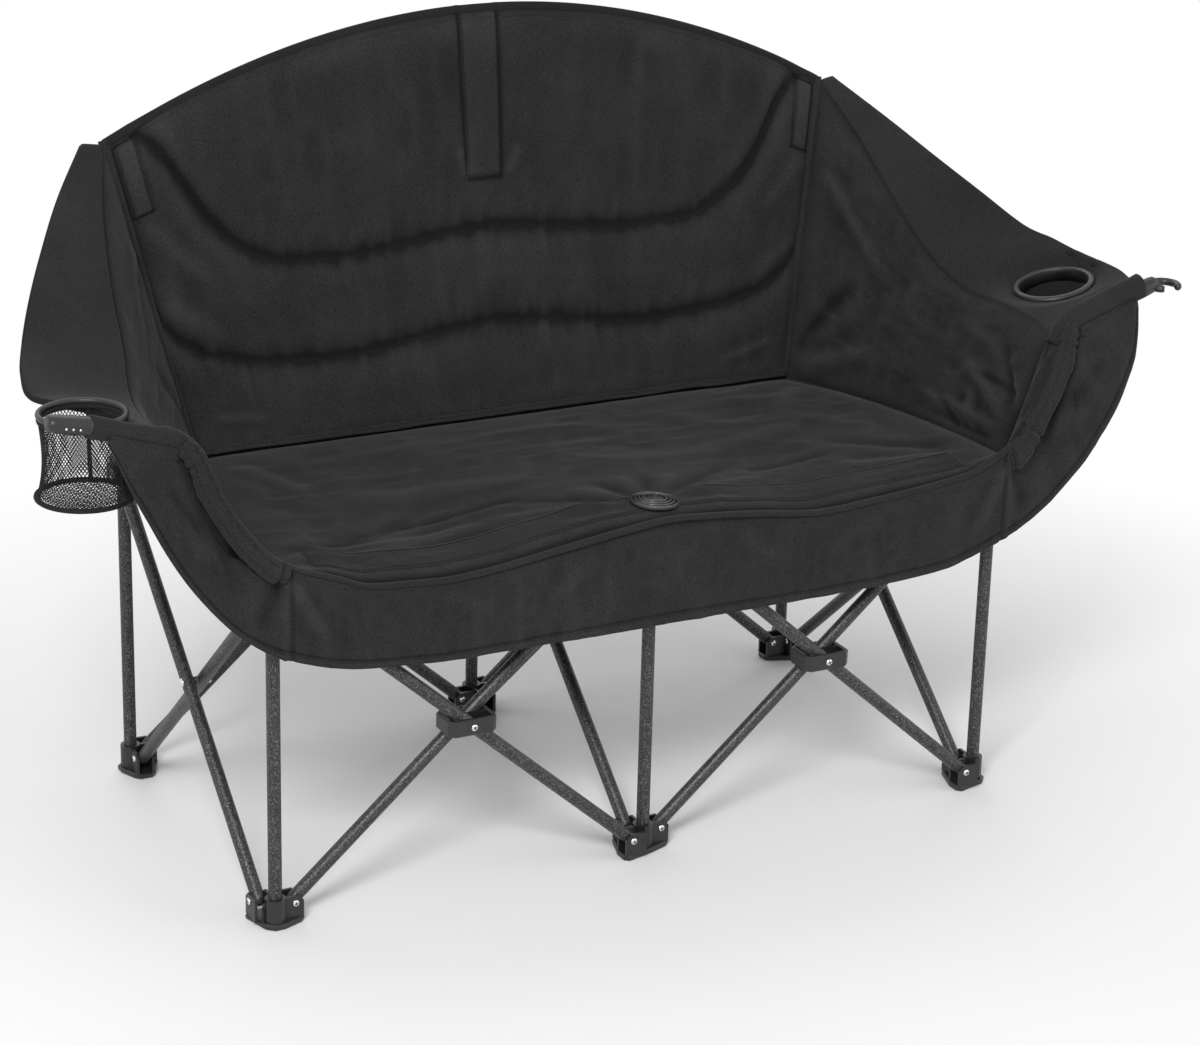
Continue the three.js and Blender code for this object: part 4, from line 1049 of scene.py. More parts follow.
STRAP = (-12, 26)  # from front to back, the sewn-on strap inside the seat's front edge
SEAT_FOLDS = [((-480, 10), (-150, 60), 13, 2.6), ((-470, 30), (-230, 120), 15, -2.6),
              ((-440, 60), (-120, 40), 9, 2), ((480, 20), (240, 60), 13, 2.6),
              ((470, 50), (300, 150), 15, -2.4), ((-330, 200), (-60, 130), 20, 2.4),
              ((330, 210), (80, 120), 20, 2.2), ((-400, 340), (-330, 200), 16, 2.2),
              ((400, 345), (300, 230), 16, 2.4), ((385, 380), (250, 330), 10, 2),
              ((-300, 90), (-100, 95), 7, -1.6), ((150, 80), (330, 100), 8, -1.6)]
STRAP_END = 430
STRAP_BOX = 105


def seat_edges(v, front, rear):
    """How the seat's padding rises from its front and rear edges."""
    return channel_profile(v * SEAT_DEEP, front) * channel_profile((1 - v) * SEAT_DEEP, rear)


def eyelet_folds():
    """Folds that spread from the eyelet, every second one hollow."""
    for k in range(11):
        a = math.pi * (0.02 + k * 0.096)
        reach = 230 if k in (1, 2, 8, 9) else 130
        start, end = (20 * math.cos(a), 20 * math.sin(a)), (reach * math.cos(a), reach * 0.8 * math.sin(a))
        yield start, end, 8 + k % 3, 1.9 if k % 2 else -1.7


def seat_top(u, v):
    half = seat_half(v)
    x, y = mix(-half, half, u), mix(SEAT_FRONT_Y, SEAT_BACK_Y, v)
    edge = seat_edges(v, 10, 22) * channel_profile(np.minimum(u, 1 - u) * 2 * half, 20)
    cap = np.hypot(x - 4, y - 2)
    folds = creases(x, y, [*eyelet_folds(), *SEAT_FOLDS])
    drape = (2.6 * field(x, y, 170, 11) + 1.6 * ridge(x * 0.6 + y * 0.3, y, 74, 12)
             + 0.8 * ridge(x * 0.7 - y * 0.3, y, 34, 13))
    hem = 0.9 * ridge(x, y * 0.3, 26, 15) + 0.5 * ridge(x, y * 0.3, 13, 16)
    drape = drape + hem * np.exp(-v * SEAT_DEEP / 28) + 0.25 * ridge(x * 0.8 + y * 0.2, y, 19, 14)
    flat = 1 - 0.95 * bump(cap, 48)
    return 2 + 10 * edge + (1.4 * folds + drape) * edge * flat - 4 * bump(cap, 46)


def seat_under(u, v):
    half = seat_half(v)
    x, y = mix(-half, half, u), mix(SEAT_FRONT_Y, SEAT_BACK_Y, v)
    edge = seat_edges(v, 30, 20) * channel_profile(np.minimum(u, 1 - u) * 2 * half, 24)
    clear = np.ones_like(x)
    for post in (-BAY, 0, BAY):
        clear = clear * (1 - bump(np.hypot(x - post, y), 48))
    return 2 + 6 * edge * clear


def make_seat():
    seat = pad("seat_cushion", seat_middle, seat_top, seat_under, 300, 150, CLOTH)
    split(seat, "seat_pad", padding=0.45)
    make_strap(skin(seat_middle, seat_top))
    x = np.linspace(-497, 497, 300)
    front_y = np.full(300, SEAT_FRONT_Y) - 4 * np.cos(np.pi * x / BAY) - 2
    hem = np.stack([x, front_y, seat_edge(x) + 0.5], -1)
    out = np.cross(np.array([0, -1.0, 0]), directions(hem))
    soft(sweep("hem_seat_front", hem, np.cross(directions(hem), out), out * -1, CLOTH, 6.5, 3.4, 14), TOP)
    fill = seat_middle(np.linspace(0, 1, 60), np.ones(60)) + (0, 3, -1)
    soft(rope("fill_seat_back", fill, 9, CLOTH), REAR)
    x = seat_middle(np.linspace(0.004, 0.996, 400), np.ones(400))[:, 0]
    path = np.stack([x, SEAT_BACK_Y - 7 + 0.6 * field(x, 0 * x, 24, 17),
                     SEAT_Z + 12 + 1.2 * field(x, 0 * x, 60, 18)], -1)
    out, rise = repeat(unit([0, -0.6, 0.8]), 400), repeat(unit([0, 0.8, 0.6]), 400)
    thick = 2.6 + 0.8 * field(x, 0 * x, 11, 19)
    soft(sweep("seam_seat_back", path, rise, out, CLOTH, 8, thick, 14), REAR)
    stitches(REAR, path + out * 2.9 - rise * 3, out)
    stitches(REAR, path + out * 2.9 + rise * 3, out)


def make_strap(at):
    """The strap on the seat, sewn down along its edges and with a crossed box at each end."""
    low, high = (seat_share(y) for y in STRAP)

    def u_of(x, v):
        return 0.5 + x / (2 * seat_half(np.asarray(v, float)))

    def surface(u, v):
        v = mix(low - 0.008, high + 0.008, v)
        return at(u_of(mix(-STRAP_END - 4, STRAP_END + 4, u), v), v, 0.5)[0]

    def thick(u, v):
        return 1.0 - 0.5 * bump(np.minimum(v, 1 - v) * 45 - 4, 1.6)

    strap = pad("seat_strap", surface, thick, lambda u, v: 1.2, 420, 26, CLOTH)
    soft(strap, TOP, padded=0.2)
    at = lifted(at, 1.5)
    for v in (low, high):
        sew(TOP, at, (u_of(-STRAP_END, v), u_of(STRAP_END, v)), v, count=600)
    for side in WORD:
        a, b = side * STRAP_END, side * (STRAP_END - STRAP_BOX)
        for start, end in ((a, a), (b, b), (a, b), (b, a)):
            sew(TOP, at, (u_of(start, low), u_of(end, high)), (low, high))


def split(piece, node_name=None, padding=None):
    """Cuts a cushion at mid depth: its front rides with the front posts, its rear with the poles."""
    mesh = piece.data
    normals = np.empty(len(mesh.vertices) * 3)
    mesh.vertices.foreach_get("normal", normals)
    normals = normals.reshape(-1, 3)
    for word, body, in_front in (("front", TOP, True), ("rear", REAR, False)):
        half = new_object(f"{piece.name}_{word}", mesh.copy())
        kept = []

        def cut(bm):
            place = bm.verts.layers.int.new("place")
            for i, v in enumerate(bm.verts):
                v[place] = i
            gone = [f for f in bm.faces if (f.calc_center_median().y <= CUT_Y * MM) != in_front]
            bmesh.ops.delete(bm, geom=gone, context="FACES")
            kept.extend(v[place] for v in bm.verts)
            bm.verts.layers.int.remove(place)
        edit_mesh(half, cut)
        half.data.normals_split_custom_set_from_vertices([tuple(n) for n in normals[kept]])
        nodes = [node_name] if in_front and node_name else []
        hang(half, body, *nodes, padded=padding)
    bpy.data.objects.remove(piece)


# ---------- Sides, wings and arms ----------

SIDE_LONG, SIDE_LOW, SIDE_HIGH = 400, 190, 400  # a side's length, and its height in front and behind
SIDE_FOLDS = [((6, 40), (150, 150), 11, 3.4), ((8, 60), (90, 190), 9, -3.2),
              ((10, 30), (200, 60), 12, 3.8), ((4, 90), (120, 120), 8, -2.8),
              ((12, 15), (170, 22), 9, -3.2), ((30, 120), (180, 230), 14, 2.6),
              ((390, 10), (260, 90), 14, 3), ((395, 30), (300, 190), 12, -2.6),
              ((385, 300), (260, 200), 14, 2.6), ((60, 10), (110, 90), 8, 2.6),
              ((90, 6), (160, 70), 8, -2.4)]


def make_side(side):
    def edges(u, v):
        rise = channel_profile(np.minimum(u, 1 - u) * SIDE_LONG, 20)
        return rise * channel_profile(v * 300, 18) * channel_profile((1 - v) * 300, 20)

    def inside(u, v):
        x, y = u * SIDE_LONG, v * mix(SIDE_LOW, SIDE_HIGH, u)
        drape = (2.6 * field(x, y, 120, 21 + side) + 1.5 * ridge(x, y, 80, 23 + side)
                 + 0.8 * ridge(x, y, 34, 27 + side) + 0.5 * ridge(x, y, 17, 29))
        folds = creases(x, y, SIDE_FOLDS)
        return 2 + 8 * edges(u, v) + (drape + 1.9 * folds) * edges(u, v)

    def outside(u, v):
        return 2 + 4 * edges(u, v)

    word = WORD[side]
    piece = pad(f"side_cushion_{word}", side_surface(side), inside, outside, 160, 120, CLOTH, flip=side > 0)
    split(piece, f"side_pad_{word}", padding=0.5)
    seam = seat_side(side)(np.linspace(0, 1, 60)) + (side * 2, 0, -2)
    soft(rope(f"seam_seat_{word}", seam, 6, CLOTH), TOP)


WING_LONG, WING_WIDE = 480, 190  # a wing's size laid flat
WING_FOLDS = [((2, 4), (34, 52), 5, 3.4), ((14, 2), (20, 60), 5, -3), ((30, 4), (90, 22), 6, 2.4),
              ((60, 10), (150, 16), 6, -1.6)]
KNOT_FOLDS = [((1, 3), (44, 46), 6, -4), ((1, 20), (30, 62), 6, 3), ((20, 2), (70, 16), 5, -3)]


def make_wing(side):
    def top(u, v):
        x, y = u * WING_LONG, v * WING_WIDE
        edge = channel_profile(np.minimum(v, 1 - v) * WING_WIDE, 12) * channel_profile(x, 14)
        drape = (2.0 * field(x, y, 110, 31 + side) + 1.2 * ridge(x, y, 60, 33 + side)
                 + 0.45 * ridge(x, y, 18, 35 + side))
        drape = creases(x, y, WING_FOLDS, drape)
        knot = creases(x, y, KNOT_FOLDS) * ease(y / 6) * ease((1 - v) * WING_WIDE / 12)
        return 2.4 + (2.6 + drape) * edge + knot

    def under(_, v):
        return 1.6 + 1.6 * channel_profile(np.minimum(v, 1 - v) * WING_WIDE, 14)

    word, surface, flip = WORD[side], wing_surface(side), side < 0
    piece = pad(f"wing_{word}", surface, top, under, 180, 76, CLOTH, flip=flip)
    if side > 0:
        edit_mesh(piece, open_round)
    split(piece, f"armrest_{word}", padding=0.2)
    at = skin(surface, top, flip)
    tape(f"binding_wing_{word}", TOP, at, (0, 1), 1.0, TAPE, 6.5, 3.6, inset=-4.5 * side)
    tape(f"welt_wing_{word}", TOP, at, (0, 1), 0.0, CLOTH, 7, 5, inset=4.5 * side)
    for v in (0.945, 0.925, 0.075):
        sew(TOP, at, (0, 1), v, count=500)


def open_round(bm):
    """Removes the cloth inside the bottle ring."""
    gone = []
    for f in bm.faces:
        x, y, z = np.array(f.calc_center_median()) / MM - BOTTLE
        if math.hypot(x / math.cos(BOTTLE_TILT), y) < BOTTLE_HOLE and abs(z) < 60:
            gone.append(f)
    bmesh.ops.delete(bm, geom=gone, context="FACES")


# Pinched places along a rim: how far up it, and how deep
PINCHES = {-1: [(16, -3), (23, 1.6), (172, -2.4), (184, -2)],
           1: [(14, -3), (22, 2.2), (56, -1.6), (63, 1.8), (70, -2.2), (78, 1.2), (170, -2.4), (182, -2)]}
CUFF_LONG, CUFF_WIDE = 160, 50  # a cuff's size laid flat
CUFF_FOLDS = [((4, 4), (60, 34), 6, 2), ((10, 40), (70, 10), 6, -1.8), ((90, 8), (150, 40), 7, 1.8),
              ((150, 6), (100, 30), 6, -1.6)]


def make_cuff(side):
    word = WORD[side]

    def out(u, v):
        x, y = u * CUFF_LONG, v * CUFF_WIDE
        return 1.8 + 0.9 * field(x, y, 30, 61 + side) + creases(x, y, CUFF_FOLDS)

    surface, flip = cuff_surface(side), side > 0
    piece = pad(f"cuff_{word}", surface, out, lambda u, v: 1.6, 90, 36, CLOTH, flip=flip)
    soft(piece, TOP, padded=0.1)
    rim = arm_rim(side)(np.linspace(0, 1, 150))
    t = directions(rim)
    across = unit(np.cross(t, np.array([0, -1.0, 0])))
    along = np.linspace(0, 200, len(rim))
    wave = 1.2 * field(along, 0 * along, 13, 71 + side) + 0.8 * field(along, 0 * along, 6, 73)
    for place, depth in PINCHES[side]:
        wave = wave + depth * bump(along - place, 3.2)
    taper = 0.5 + 0.5 * ease(np.minimum(along + 4, 200 - along) / 13)
    wide, high = (RIM_WIDE[side] + wave) * taper, (RIM_HIGH[side] + wave) * taper
    rim = rim - np.array([side * RIM_IN[side], 0, 0]) * ease(along / 20)[:, None]
    n = unit(np.cross(across, t))
    soft(sweep(f"hem_arm_{word}", rim, across, n, CLOTH, wide, high, 20), TOP)
    n = n * np.sign(n[:, 1:2] * -1)
    for off in (-0.5, 0.5):
        stitches(TOP, rim + across * (off * wide)[:, None] + n * (0.87 * high + 0.2)[:, None], n)


# Distances along the arm tube from its foot
LEG_WRAP = (34, 182)
SLEEVE_FROM = 176


def make_arm(side):
    word, body, path = WORD[side], f"{WORD[side]}_arm", arm_path(side)
    tube = rope(f"round_arm_tube_{word}", resample(path, 4), TUBE_R, PAINT, 24)
    attach(tube, body, "tube", f"arm_tube_{word}")
    along = distances(path)
    fullness, thinning = (11.5, 0.0) if side > 0 else (8.5, 0.5)

    def radius(a, g):
        """The sleeve hangs over the tube: it is fuller on top and flat below."""
        near = np.exp(-a / 26)
        wrinkle = ((0.4 + 1.5 * near) * field(a, g * 11, 15, 81 + side)
                   + (0.2 + 1.0 * near) * field(a, g * 11, 7, 83))
        top = np.clip(side * np.cos(g), 0, 1) ** 1.6
        return 10.6 + fullness * (1 - thinning * ease((a - 20) / 80)) * top + wrinkle

    def wrapped(a, g):
        return 9.8 + 0.6 * field(a, g * 11, 18, 85)

    def part(start, end):
        return path[(along > start) & (along < end)]
    sleeve = cloth_tube(f"cloth_sleeve_{word}", part(SLEEVE_FROM, along[-1] - 3), radius, CLOTH)
    # The wrap round the tube's lower leg uses the darker tape cloth as painted shade for the dark gap there
    wrap = cloth_tube(f"leg_wrap_{word}", part(*LEG_WRAP), wrapped, TAPE)
    attach(wrap, body, "cloth", padded=0.3)
    attach(sleeve, body, "cloth", f"arm_sleeve_{word}", padded=0.2)
    low = arm_knot(side) + (arm_end(side) - arm_knot(side)) * 0.1
    high = arm_end(side) - (side * 26, 0, 8.6)

    def flange(u, v):
        u, v = np.asarray(u, float), np.asarray(v, float)
        base = low + (high - low) * u[..., None]
        drop = 1 + 14 * v
        y = -11.2 - 3.0 * np.sin(np.pi * np.clip(v, 0, 1) * 0.6)
        return np.stack([base[..., 0] + side * 0.2 * drop, y, base[..., 2] - drop], -1)

    def thick(u, v):
        return 1.5 + 0.6 * field(np.asarray(u) * 130, np.asarray(v) * 20, 18, 91 + side)
    flip = side > 0
    strip = pad(f"sleeve_hem_{word}", flange, thick, lambda u, v: 1.2, 60, 10, CLOTH, flip=flip)
    attach(strip, body, "cloth", padded=0.1)
    for v in (0.45, 0.85):
        sew(body, skin(flange, thick, flip), (0.03, 0.97), v, count=200)


# The front flap's lower edge: its height along the seat, then places up the right and the left arm
HEM_Z = lookup([0, 200, 280, 340, 400, 430, 470, 480], [310, 310, 311, 314, 320, 327, 341, 345])
HEM_ARM = [(480, -37, 345), (500, -37, 354), (538, -36, 377), (577, -33, 410), (598, -30, 429),
           (618, -27, 453), (644, -23, 486), (662, -19, 522), (672, -16, 555), (672, -14, 590),
           (667, -13, 621)]
HEM_ARM_LEFT = [(480, -37, 343), (508, -37, 360), (536, -37, 382), (562, -35, 410), (590, -32, 447),
                (612, -28, 484), (632, -23, 525), (648, -18, 560), (660, -15, 592), (670, -13, 616)]
# Its upper edge along an arm
TOP_ARM = [(480, -34, 451), (508, -24, 456), (538, -12, 470), (552, -8, 490), (562, -6, 514),
           (571, -6, 542), (580, -7, 568), (591, -9, 588), (608, -12, 599), (630, -13, 607),
           (648, -13, 614), (661, -13, 619)]
FLAP_STRAIGHT = 0.62  # share of the flap's half width that hangs from the seat
FLAP_LONG, FLAP_HIGH = 1560, 130  # its size laid flat
FLAP_SEAMS = (479.5, 486.5)
FLAP_FOLDS = [((480, 126), (430, 30), 12, 2.6), ((486, 120), (520, 20), 12, -2.2),
              ((560, 110), (640, 40), 16, 2.4), ((600, 90), (690, 70), 13, -2),
              ((300, 118), (210, 70), 16, 1.6), ((90, 122), (160, 60), 14, 1.4)]


def flap_surface(u, v):
    u, v = np.asarray(u, float), np.asarray(v, float)
    side = np.where(u < 0.5, -1.0, 1.0)
    s = np.abs(u - 0.5) * 2
    x = np.clip(s / FLAP_STRAIGHT, 0, 1) * BAY
    y = SEAT_FRONT_Y - 3 + 0 * x
    hem = np.stack([x, y - 1, HEM_Z(x)], -1)
    top = np.stack([x, y, seat_edge(side * x) - 2], -1)
    t = np.clip((s - FLAP_STRAIGHT) / (1 - FLAP_STRAIGHT), 0, 1)
    out_hem = np.where((side > 0)[..., None], through(HEM_ARM)(t), through(HEM_ARM_LEFT)(t))
    out_top = through(TOP_ARM)(t)
    out_top[..., 2] += (seat_edge(side * BAY) - 2 - TOP_ARM[0][2]) * (1 - ease(t * 6))
    arm = (s > FLAP_STRAIGHT)[..., None]
    hem, top = np.where(arm, out_hem, hem), np.where(arm, out_top, top)
    p = mix(hem, top, v[..., None])
    belly = np.sin(np.pi * np.clip(v, 0, 1)) * (3 + 4 * ease(t * 3) * ease((1 - t) * 2))
    return np.stack([side * p[..., 0], p[..., 1] - belly, p[..., 2]], -1)


def make_flap():
    def drape(x, y):
        folds = creases(x, y, FLAP_FOLDS, creases(-x, y, FLAP_FOLDS))
        fine = 0.45 * ridge(x, y * 0.7, 19, 44)
        large = 2.0 * field(x, y, 150, 41) + 1.2 * ridge(x, y * 0.6, 60, 42)
        return (large + 1.5 * folds + fine) * channel_profile(FLAP_HIGH - y, 14)

    def front(u, v):
        x, y = (u - 0.5) * FLAP_LONG, v * FLAP_HIGH
        out = np.abs(x)
        seam = ease((out - 478) / 2) * (1 - ease((out - 488) / 2))
        grooves = 1.5 * bump(y - 13, 2) + 1.5 * bump(out - 475, 2) + 0.7 * bump(y - 9.4, 1.6)
        for place in FLAP_SEAMS:
            grooves = grooves + 0.9 * bump(out - place, 1.6)
        return 1.6 + drape(x, y) + 1.2 * (1 - ease((y - 10) / 2)) + 1.3 * seam - grooves

    def rear(u, v):
        return 1.5 - drape((u - 0.5) * FLAP_LONG, v * FLAP_HIGH)

    piece = pad("front_valance", flap_surface, front, rear, 620, 76, CLOTH)
    soft(piece, TOP, "front_flap", padded=0.1)
    at = skin(flap_surface, front)
    sew(TOP, at, (0.002, 0.998), 0.072, count=1500)
    for side in WORD:
        for place in FLAP_SEAMS:
            sew(TOP, at, 0.5 + side * place / FLAP_LONG, (0.02, 0.97))


# ---------- Holders ----------

CUP = np.array([-672, 61, 622.0])  # middle of the cup's mouth
CUP_R, CUP_DEEP = 47, 92


def around(centre, radius, angle, z):
    """Points round an upright axis."""
    x, y, z = np.broadcast_arrays(centre[0] + radius * np.cos(angle), centre[1] + radius * np.sin(angle), z)
    return np.stack([x, y, z], -1)


def hoop(radius, z, half, material, sides):
    """A round ring about the cup's axis; half is its own radius."""
    path = around(CUP, radius, np.linspace(0, TAU, 90, endpoint=False), z)
    return rope("ring", path, half, material, sides, closed=True)


def arm_way(side):
    """The way out along an arm tube's upper leg."""
    return unit(arm_end(side) - arm_knot(side))


def make_cup():
    top, low = CUP[2], CUP[2] - CUP_DEEP
    share = np.linspace(0, 1, 26)

    def wall(a, z_share):
        """Radius and height down the net: drawn in under its top ring and flared at its foot."""
        r = CUP_R - 3.5 * np.sin(np.pi * z_share * 0.9) + 5.6 * z_share ** 4 + 0.6 * np.sin(a * 6) * z_share
        return r, top - 1 - 90 * z_share

    strands = []
    count, turns = 72, 0.21  # strands each way, and how far round each of them runs
    for way in (-1, 1):
        for k in range(count):
            a = TAU * k / count + way * turns * TAU * share
            r, z = wall(a, share)
            strands.append(around(CUP, r, a, z))
    floor, c, s = CUP_R - 1, math.cos(0.78), math.sin(0.78)  # the floor's net lies at about 45 degrees
    for k in range(-10, 11):
        off = k * 4.4
        reach = math.sqrt(floor ** 2 - off ** 2)
        w = np.linspace(-reach, reach, 12)
        for x, y in ((np.full(12, off), w), (w, np.full(12, off))):
            sag = low + 2 + 0.001 * (x * x + y * y)
            strands.append(np.stack([CUP[0] + x * c - y * s, CUP[1] + x * s + y * c, sag], -1))
    net = thin_strands("cup_net", strands, 0.5, NET)
    rings = [hoop(CUP_R - 0.5, top - 2, 3.2, TAPE, 10), hoop(CUP_R + 5, low + 3, 3, TAPE, 10)]
    for a in (1.1, 2.75, 5.45):
        r, z = wall(a, np.linspace(0, 1, 20))
        side, out = (-math.sin(a), math.cos(a), 0), (math.cos(a), math.sin(a), 0)
        rings.append(sweep("rib", around(CUP, r + 0.4, a, z), side, out, TAPE, 2.4, 0.9, 8))
    attach(join("net_basket", [net, *rings]), "left_arm", "mesh", "cup_basket")

    out = unit(arm_way(-1) + (-1.0, 0, 0.08))
    along = np.array([-6, -5.4, -3.5, 0, 4, 10, 20, 30, 36, 40, 42, 43.0])
    size = np.array([0.86, 0.96, 1, 1, 0.99, 0.97, 0.95, 0.94, 0.92, 0.86, 0.76, 0.6])
    path = arm_end(-1) + along[:, None] * out + (0, 0, 2)
    clamp = sweep("clamp", path, (0, 1, 0), np.cross(out, [0, 1, 0]), PLASTIC, 13 * size, 10.5 * size, 28)
    rim = top + 3.8
    lug = sweep("lug", [(CUP[0] - 18, 6, rim), (CUP[0] - 16, 14, rim), (CUP[0] - 13, 22, rim)],
                (1, 0, 0), (0, 0, 1), PLASTIC, 8, 3.4, 12)
    rivets = [rivet(arm_end(-1) + out * step + (0, -12.2, 0), (0, -1, 0), 1.5, 0.9) for step in (9, 17, 25)]
    pieces = [hoop(CUP_R, rim, 3.5, PLASTIC, 12), clamp, lug, *rivets]
    attach(join("cup_clamp", pieces), "left_arm", "bracket", "cup_holder_clamp")


def thin_strands(name, paths, radius, material):
    """Many thin cords as one mesh, each with four sides."""
    verts, faces, first = [], [], 0
    for path in paths:
        t = directions(path)
        a = unit(np.cross(t, [0.3, 0.2, 0.93]))
        b = np.cross(t, a)
        ring = [path + a * radius, path + b * radius, path - a * radius, path - b * radius]
        verts.append(np.stack(ring, 1).reshape(-1, 3))
        faces += tube_faces(len(path), 4, capped=False, first=first)
        first += 4 * len(path)
    return mesh_object(name, np.vstack(verts), faces, material)


def make_bottle():
    profile = [(44, -14), (44, 1.6), (45, 3.4), (47, 4.2), (50, 4.0), (52, 2.8), (53, 0.8), (53, -1.6),
               (51.5, -2.6), (46.4, -2.6), (46.2, -14), (44, -14)]
    turn = Matrix.Rotation(-BOTTLE_TILT, 3, "Y")
    ring = lathe("plastic_bottle_ring", profile, PLASTIC, 72, BOTTLE, turn)
    attach(ring, "right_arm", "bracket", "bottle_ring")

    def side(along, angle):
        return 47.2 + 0.8 * field(along, angle * 46, 40, 95) + 0.7 * np.sin(angle * 5) * ease(along / 60)

    def finish(bm):
        """Opens the bag, tilts its rim to the ring's angle and gives the cloth its thickness."""
        lid = [f for f in bm.faces if len(f.verts) > 4 and f.calc_center_median().z > (BOTTLE[2] - 20) * MM]
        bmesh.ops.delete(bm, geom=lid, context="FACES")
        for v in bm.verts:
            share = max(0.0, 1 - (BOTTLE[2] - 10 - v.co.z / MM) / 60)
            v.co.z += (v.co.x - BOTTLE[0] * MM) * math.tan(BOTTLE_TILT) * share
        bmesh.ops.solidify(bm, geom=list(bm.faces), thickness=1.2 * MM)

    path = repeat(BOTTLE, 40)
    path[:, 2] = np.linspace(BOTTLE[2] - 10, BOTTLE[2] - 140, 40)
    bag = cloth_tube("bottle_bag", path, side, CLOTH, 64)
    edit_mesh(bag, finish)
    attach(bag, "right_arm", "cloth", "bottle_pocket", padded=0.1)


def make_glass():
    out = arm_way(1)
    along = np.array([-4, -3.4, -2, 0, 6, 12, 17, 19.0])
    size = np.array([0.8, 0.93, 1, 1, 0.98, 0.93, 0.85, 0.7])
    path = arm_end(1) + along[:, None] * out
    sleeve = sweep("sleeve", path, (0, 1, 0), np.cross(out, [0, 1, 0]), PLASTIC, 11.6 * size, 10.5 * size, 24)
    a = np.linspace(-math.radians(57), math.radians(237), 60)
    side = np.stack([np.cos(a), np.sin(a), 0 * a], -1)
    ends = np.minimum(1, 0.8 + 0.2 * np.minimum(np.arange(60), 59 - np.arange(60)) / 2)
    path = around((ARM_END_X + 31, 0), 18, a, ARM_END_Z + 1)
    ring = sweep("ring", path, side, (0, 0, 1), PLASTIC, 4.6 * ends, 4.8 * ends, 16)
    attach(join("c_ring", [sleeve, ring]), "right_arm", "bracket", "glass_holder")


def make_seat_cap():
    """Round eyelet in the seat over the middle post: rings stepping down round a grey cap. Its ring crests
    are lighter grey plastic as a painted highlight, and its bed between them is near black as painted shade.
    """
    base, stem_foot = 449.5, 424
    at, turn = (3, 1, base), Matrix.Rotation(math.radians(3), 3, "Y")
    bed = [(0, 2.2), (12, 2.2), (29.4, -0.6), (29.4, -3), (0, -3)]
    cap = [(0, 4.4), (7, 4.1), (9.6, 3.2), (10.4, 1.6), (10.4, -3), (0, -3)]
    # Half of a ring's section: how far out from its middle, how far down from its top
    half = [(1, 4), (0.9, 0.8), (0.5, 0.2)]
    pieces = [lathe("eyelet", bed, PAINTED_SHADE, 72, at, turn)]
    for radius, high in ((14.2, 5.2), (18.8, 4.2), (23.2, 3.1), (27.6, 2.0)):
        ring = [(radius - x, high - z) for x, z in half] + [(radius, high)]
        ring += [(radius + x, high - z) for x, z in half[::-1]] + [ring[0]]
        pieces.append(lathe("ring", ring, RING_HIGHLIGHT, 72, at, turn))
    pieces.append(lathe("cap", cap, PAINT, 48, at, turn))
    pieces.append(turned("stem", 5.5, stem_foot, base, (0, 0), PLASTIC))
    attach(join("seat_eyelet", pieces), TOP, "bracket", "seat_cap")


make_back()
make_seat()
for side in WORD:
    make_side(side)
    make_wing(side)
    make_cuff(side)
    make_arm(side)
make_flap()
make_cup()
make_bottle()
make_glass()
make_seat_cap()
make_threads()


# ---------- Camera, light and floor ----------

AZIMUTH, ELEVATION, ROLL = map(math.radians, (-28.2837, 19.8906, 1.4786))
CAMERA_PLACE = (-1.7533, -3.1293, 1.7187)
LENS = 97.55


def make_camera():
    back = Vector((math.sin(AZIMUTH) * math.cos(ELEVATION), -math.cos(AZIMUTH) * math.cos(ELEVATION),
                   math.sin(ELEVATION)))
    right = Vector((math.cos(AZIMUTH), math.sin(AZIMUTH), 0))
    up = back.cross(right)
    c, s = math.cos(ROLL), math.sin(ROLL)
    data = bpy.data.cameras.new("camera")
    data.lens, data.sensor_width, data.sensor_fit, data.clip_end = LENS, 36, "HORIZONTAL", 100
    turn = Matrix((right * c + up * s, up * c - right * s, back)).transposed().to_4x4()
    camera = new_object("camera", data)
    camera.matrix_world = Matrix.Translation(CAMERA_PLACE) @ turn
    bpy.context.scene.camera = camera


def area_light(name, place, target, size, power):
    data = bpy.data.lights.new(name, "AREA")
    data.shape = "RECTANGLE"
    data.size, data.size_y = size
    data.energy = power
    light = new_object(name, data)
    light.location = place
    light.rotation_euler = (Vector(target) - Vector(place)).to_track_quat("-Z", "Y").to_euler()


def background_rays(tree):
    """1 for the rays that see the background: straight, mirrored or through glass."""
    rays = add_node(tree, "LightPath").outputs
    straight_or_mirrored = math_node(tree, "MAXIMUM", rays["Is Camera Ray"], rays["Is Glossy Ray"])
    return math_node(tree, "MAXIMUM", straight_or_mirrored, rays["Is Transmission Ray"])


WHITE = (1, 1, 1, 1)


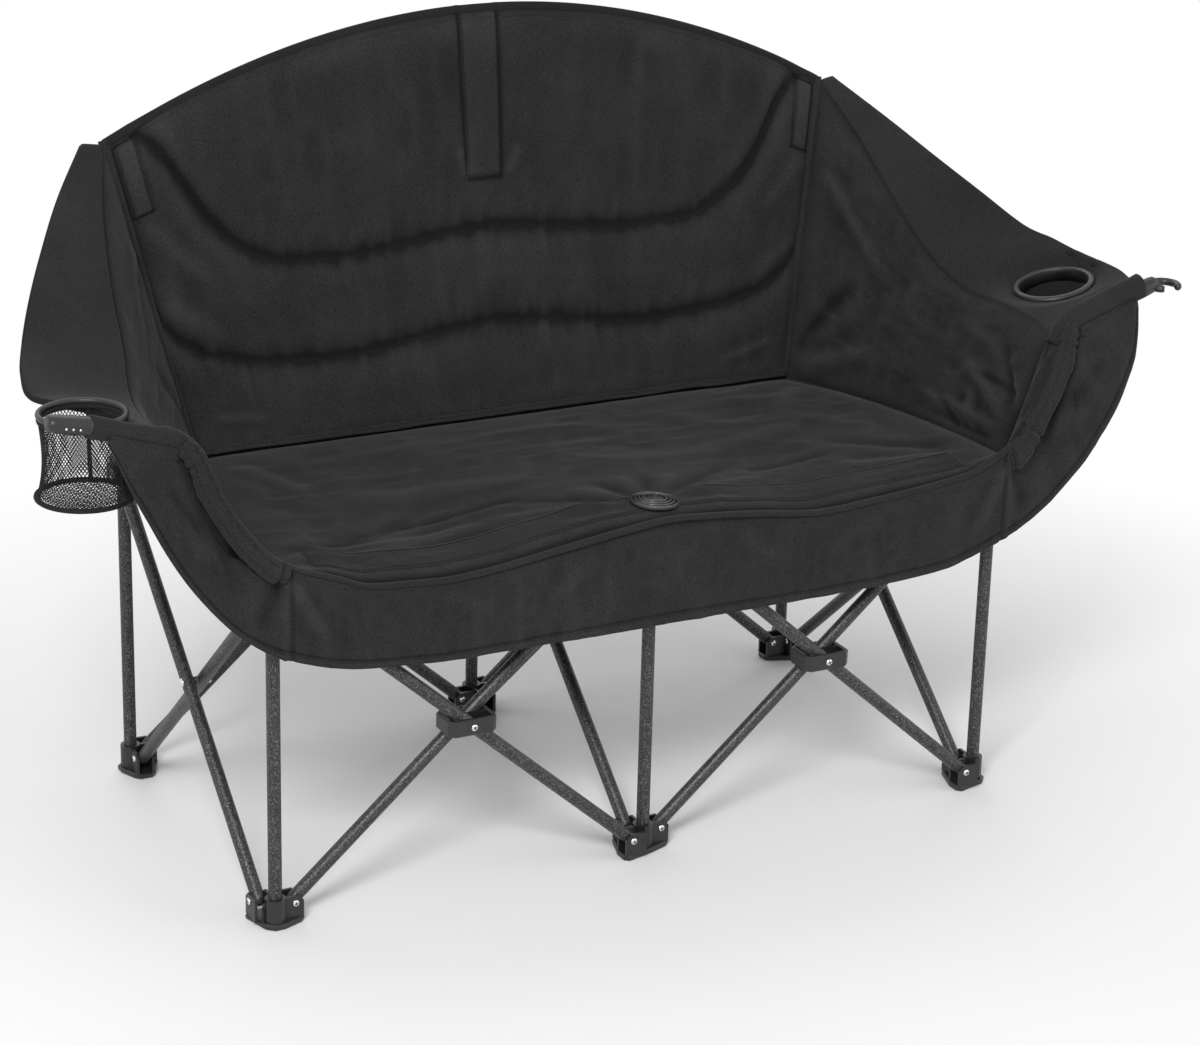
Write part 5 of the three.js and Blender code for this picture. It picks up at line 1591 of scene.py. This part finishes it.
def choose_node(tree, share, first, second):
    inputs = {"Fac": share, 1: first.outputs[0], 2: second.outputs[0]}
    return add_node(tree, "MixShader", inputs).outputs[0]


def make_floor():
    """A pale floor that fades into the white background."""
    mesh = bpy.data.meshes.new("floor")
    mesh.from_pydata([(-15, -15, 0), (15, -15, 0), (15, 15, 0), (-15, 15, 0)], [], [(0, 1, 2, 3)])
    material, tree, shader, coords = new_material("studio_floor")
    cloudy = noise_node(tree, coords, 1.5, 2)
    colour = ramp_node(tree, cloudy, [(0.2, (0.92, 0.92, 0.922)), (0.8, (0.945, 0.945, 0.947))])
    feed(tree, shader, {"Base Color": colour, "Roughness": 0.6})
    reach = add_node(tree, "Mapping", {"Vector": coords, "Location": (0, -0.1, 0), "Scale": (0.33, 0.38, 1)})
    fade = add_node(tree, "TexGradient", {"Vector": reach.outputs["Vector"]}, gradient_type="SPHERICAL")
    far = ramp_node(tree, fade.outputs["Fac"], [(0.5, 1.0), (0.8, 0.0)])
    glow = add_node(tree, "Emission", {"Color": WHITE, "Strength": 1})
    seen = math_node(tree, "MULTIPLY", far, background_rays(tree))
    feed(tree, tree.nodes["Material Output"], {"Surface": choose_node(tree, seen, shader, glow)})
    mesh.materials.append(material)
    new_object("floor", mesh)


def make_world():
    """Half light all round, and white where the background is seen."""
    world = bpy.data.worlds.new("studio")
    world.use_nodes = True
    tree = world.node_tree
    feed(tree, tree.nodes["Background"], {"Color": WHITE, "Strength": 0.5})
    behind = add_node(tree, "Background", {"Color": WHITE, "Strength": 1})
    both = choose_node(tree, background_rays(tree), tree.nodes["Background"], behind)
    feed(tree, tree.nodes["World Output"], {"Surface": both})
    bpy.context.scene.world = world


make_camera()
make_floor()
make_world()
area_light("key", (-2.6, -3.0, 3.6), (0, 0.2, 0.5), (1.6, 1.2), 170)
area_light("fill", (3.2, -2.6, 2.0), (0, 0.2, 0.6), (2.2, 2.2), 22)
area_light("rim", (0.5, 3.2, 3.0), (0, 0.3, 0.7), (3.0, 1.2), 20)
bpy.context.scene.view_settings.view_transform = "Standard"
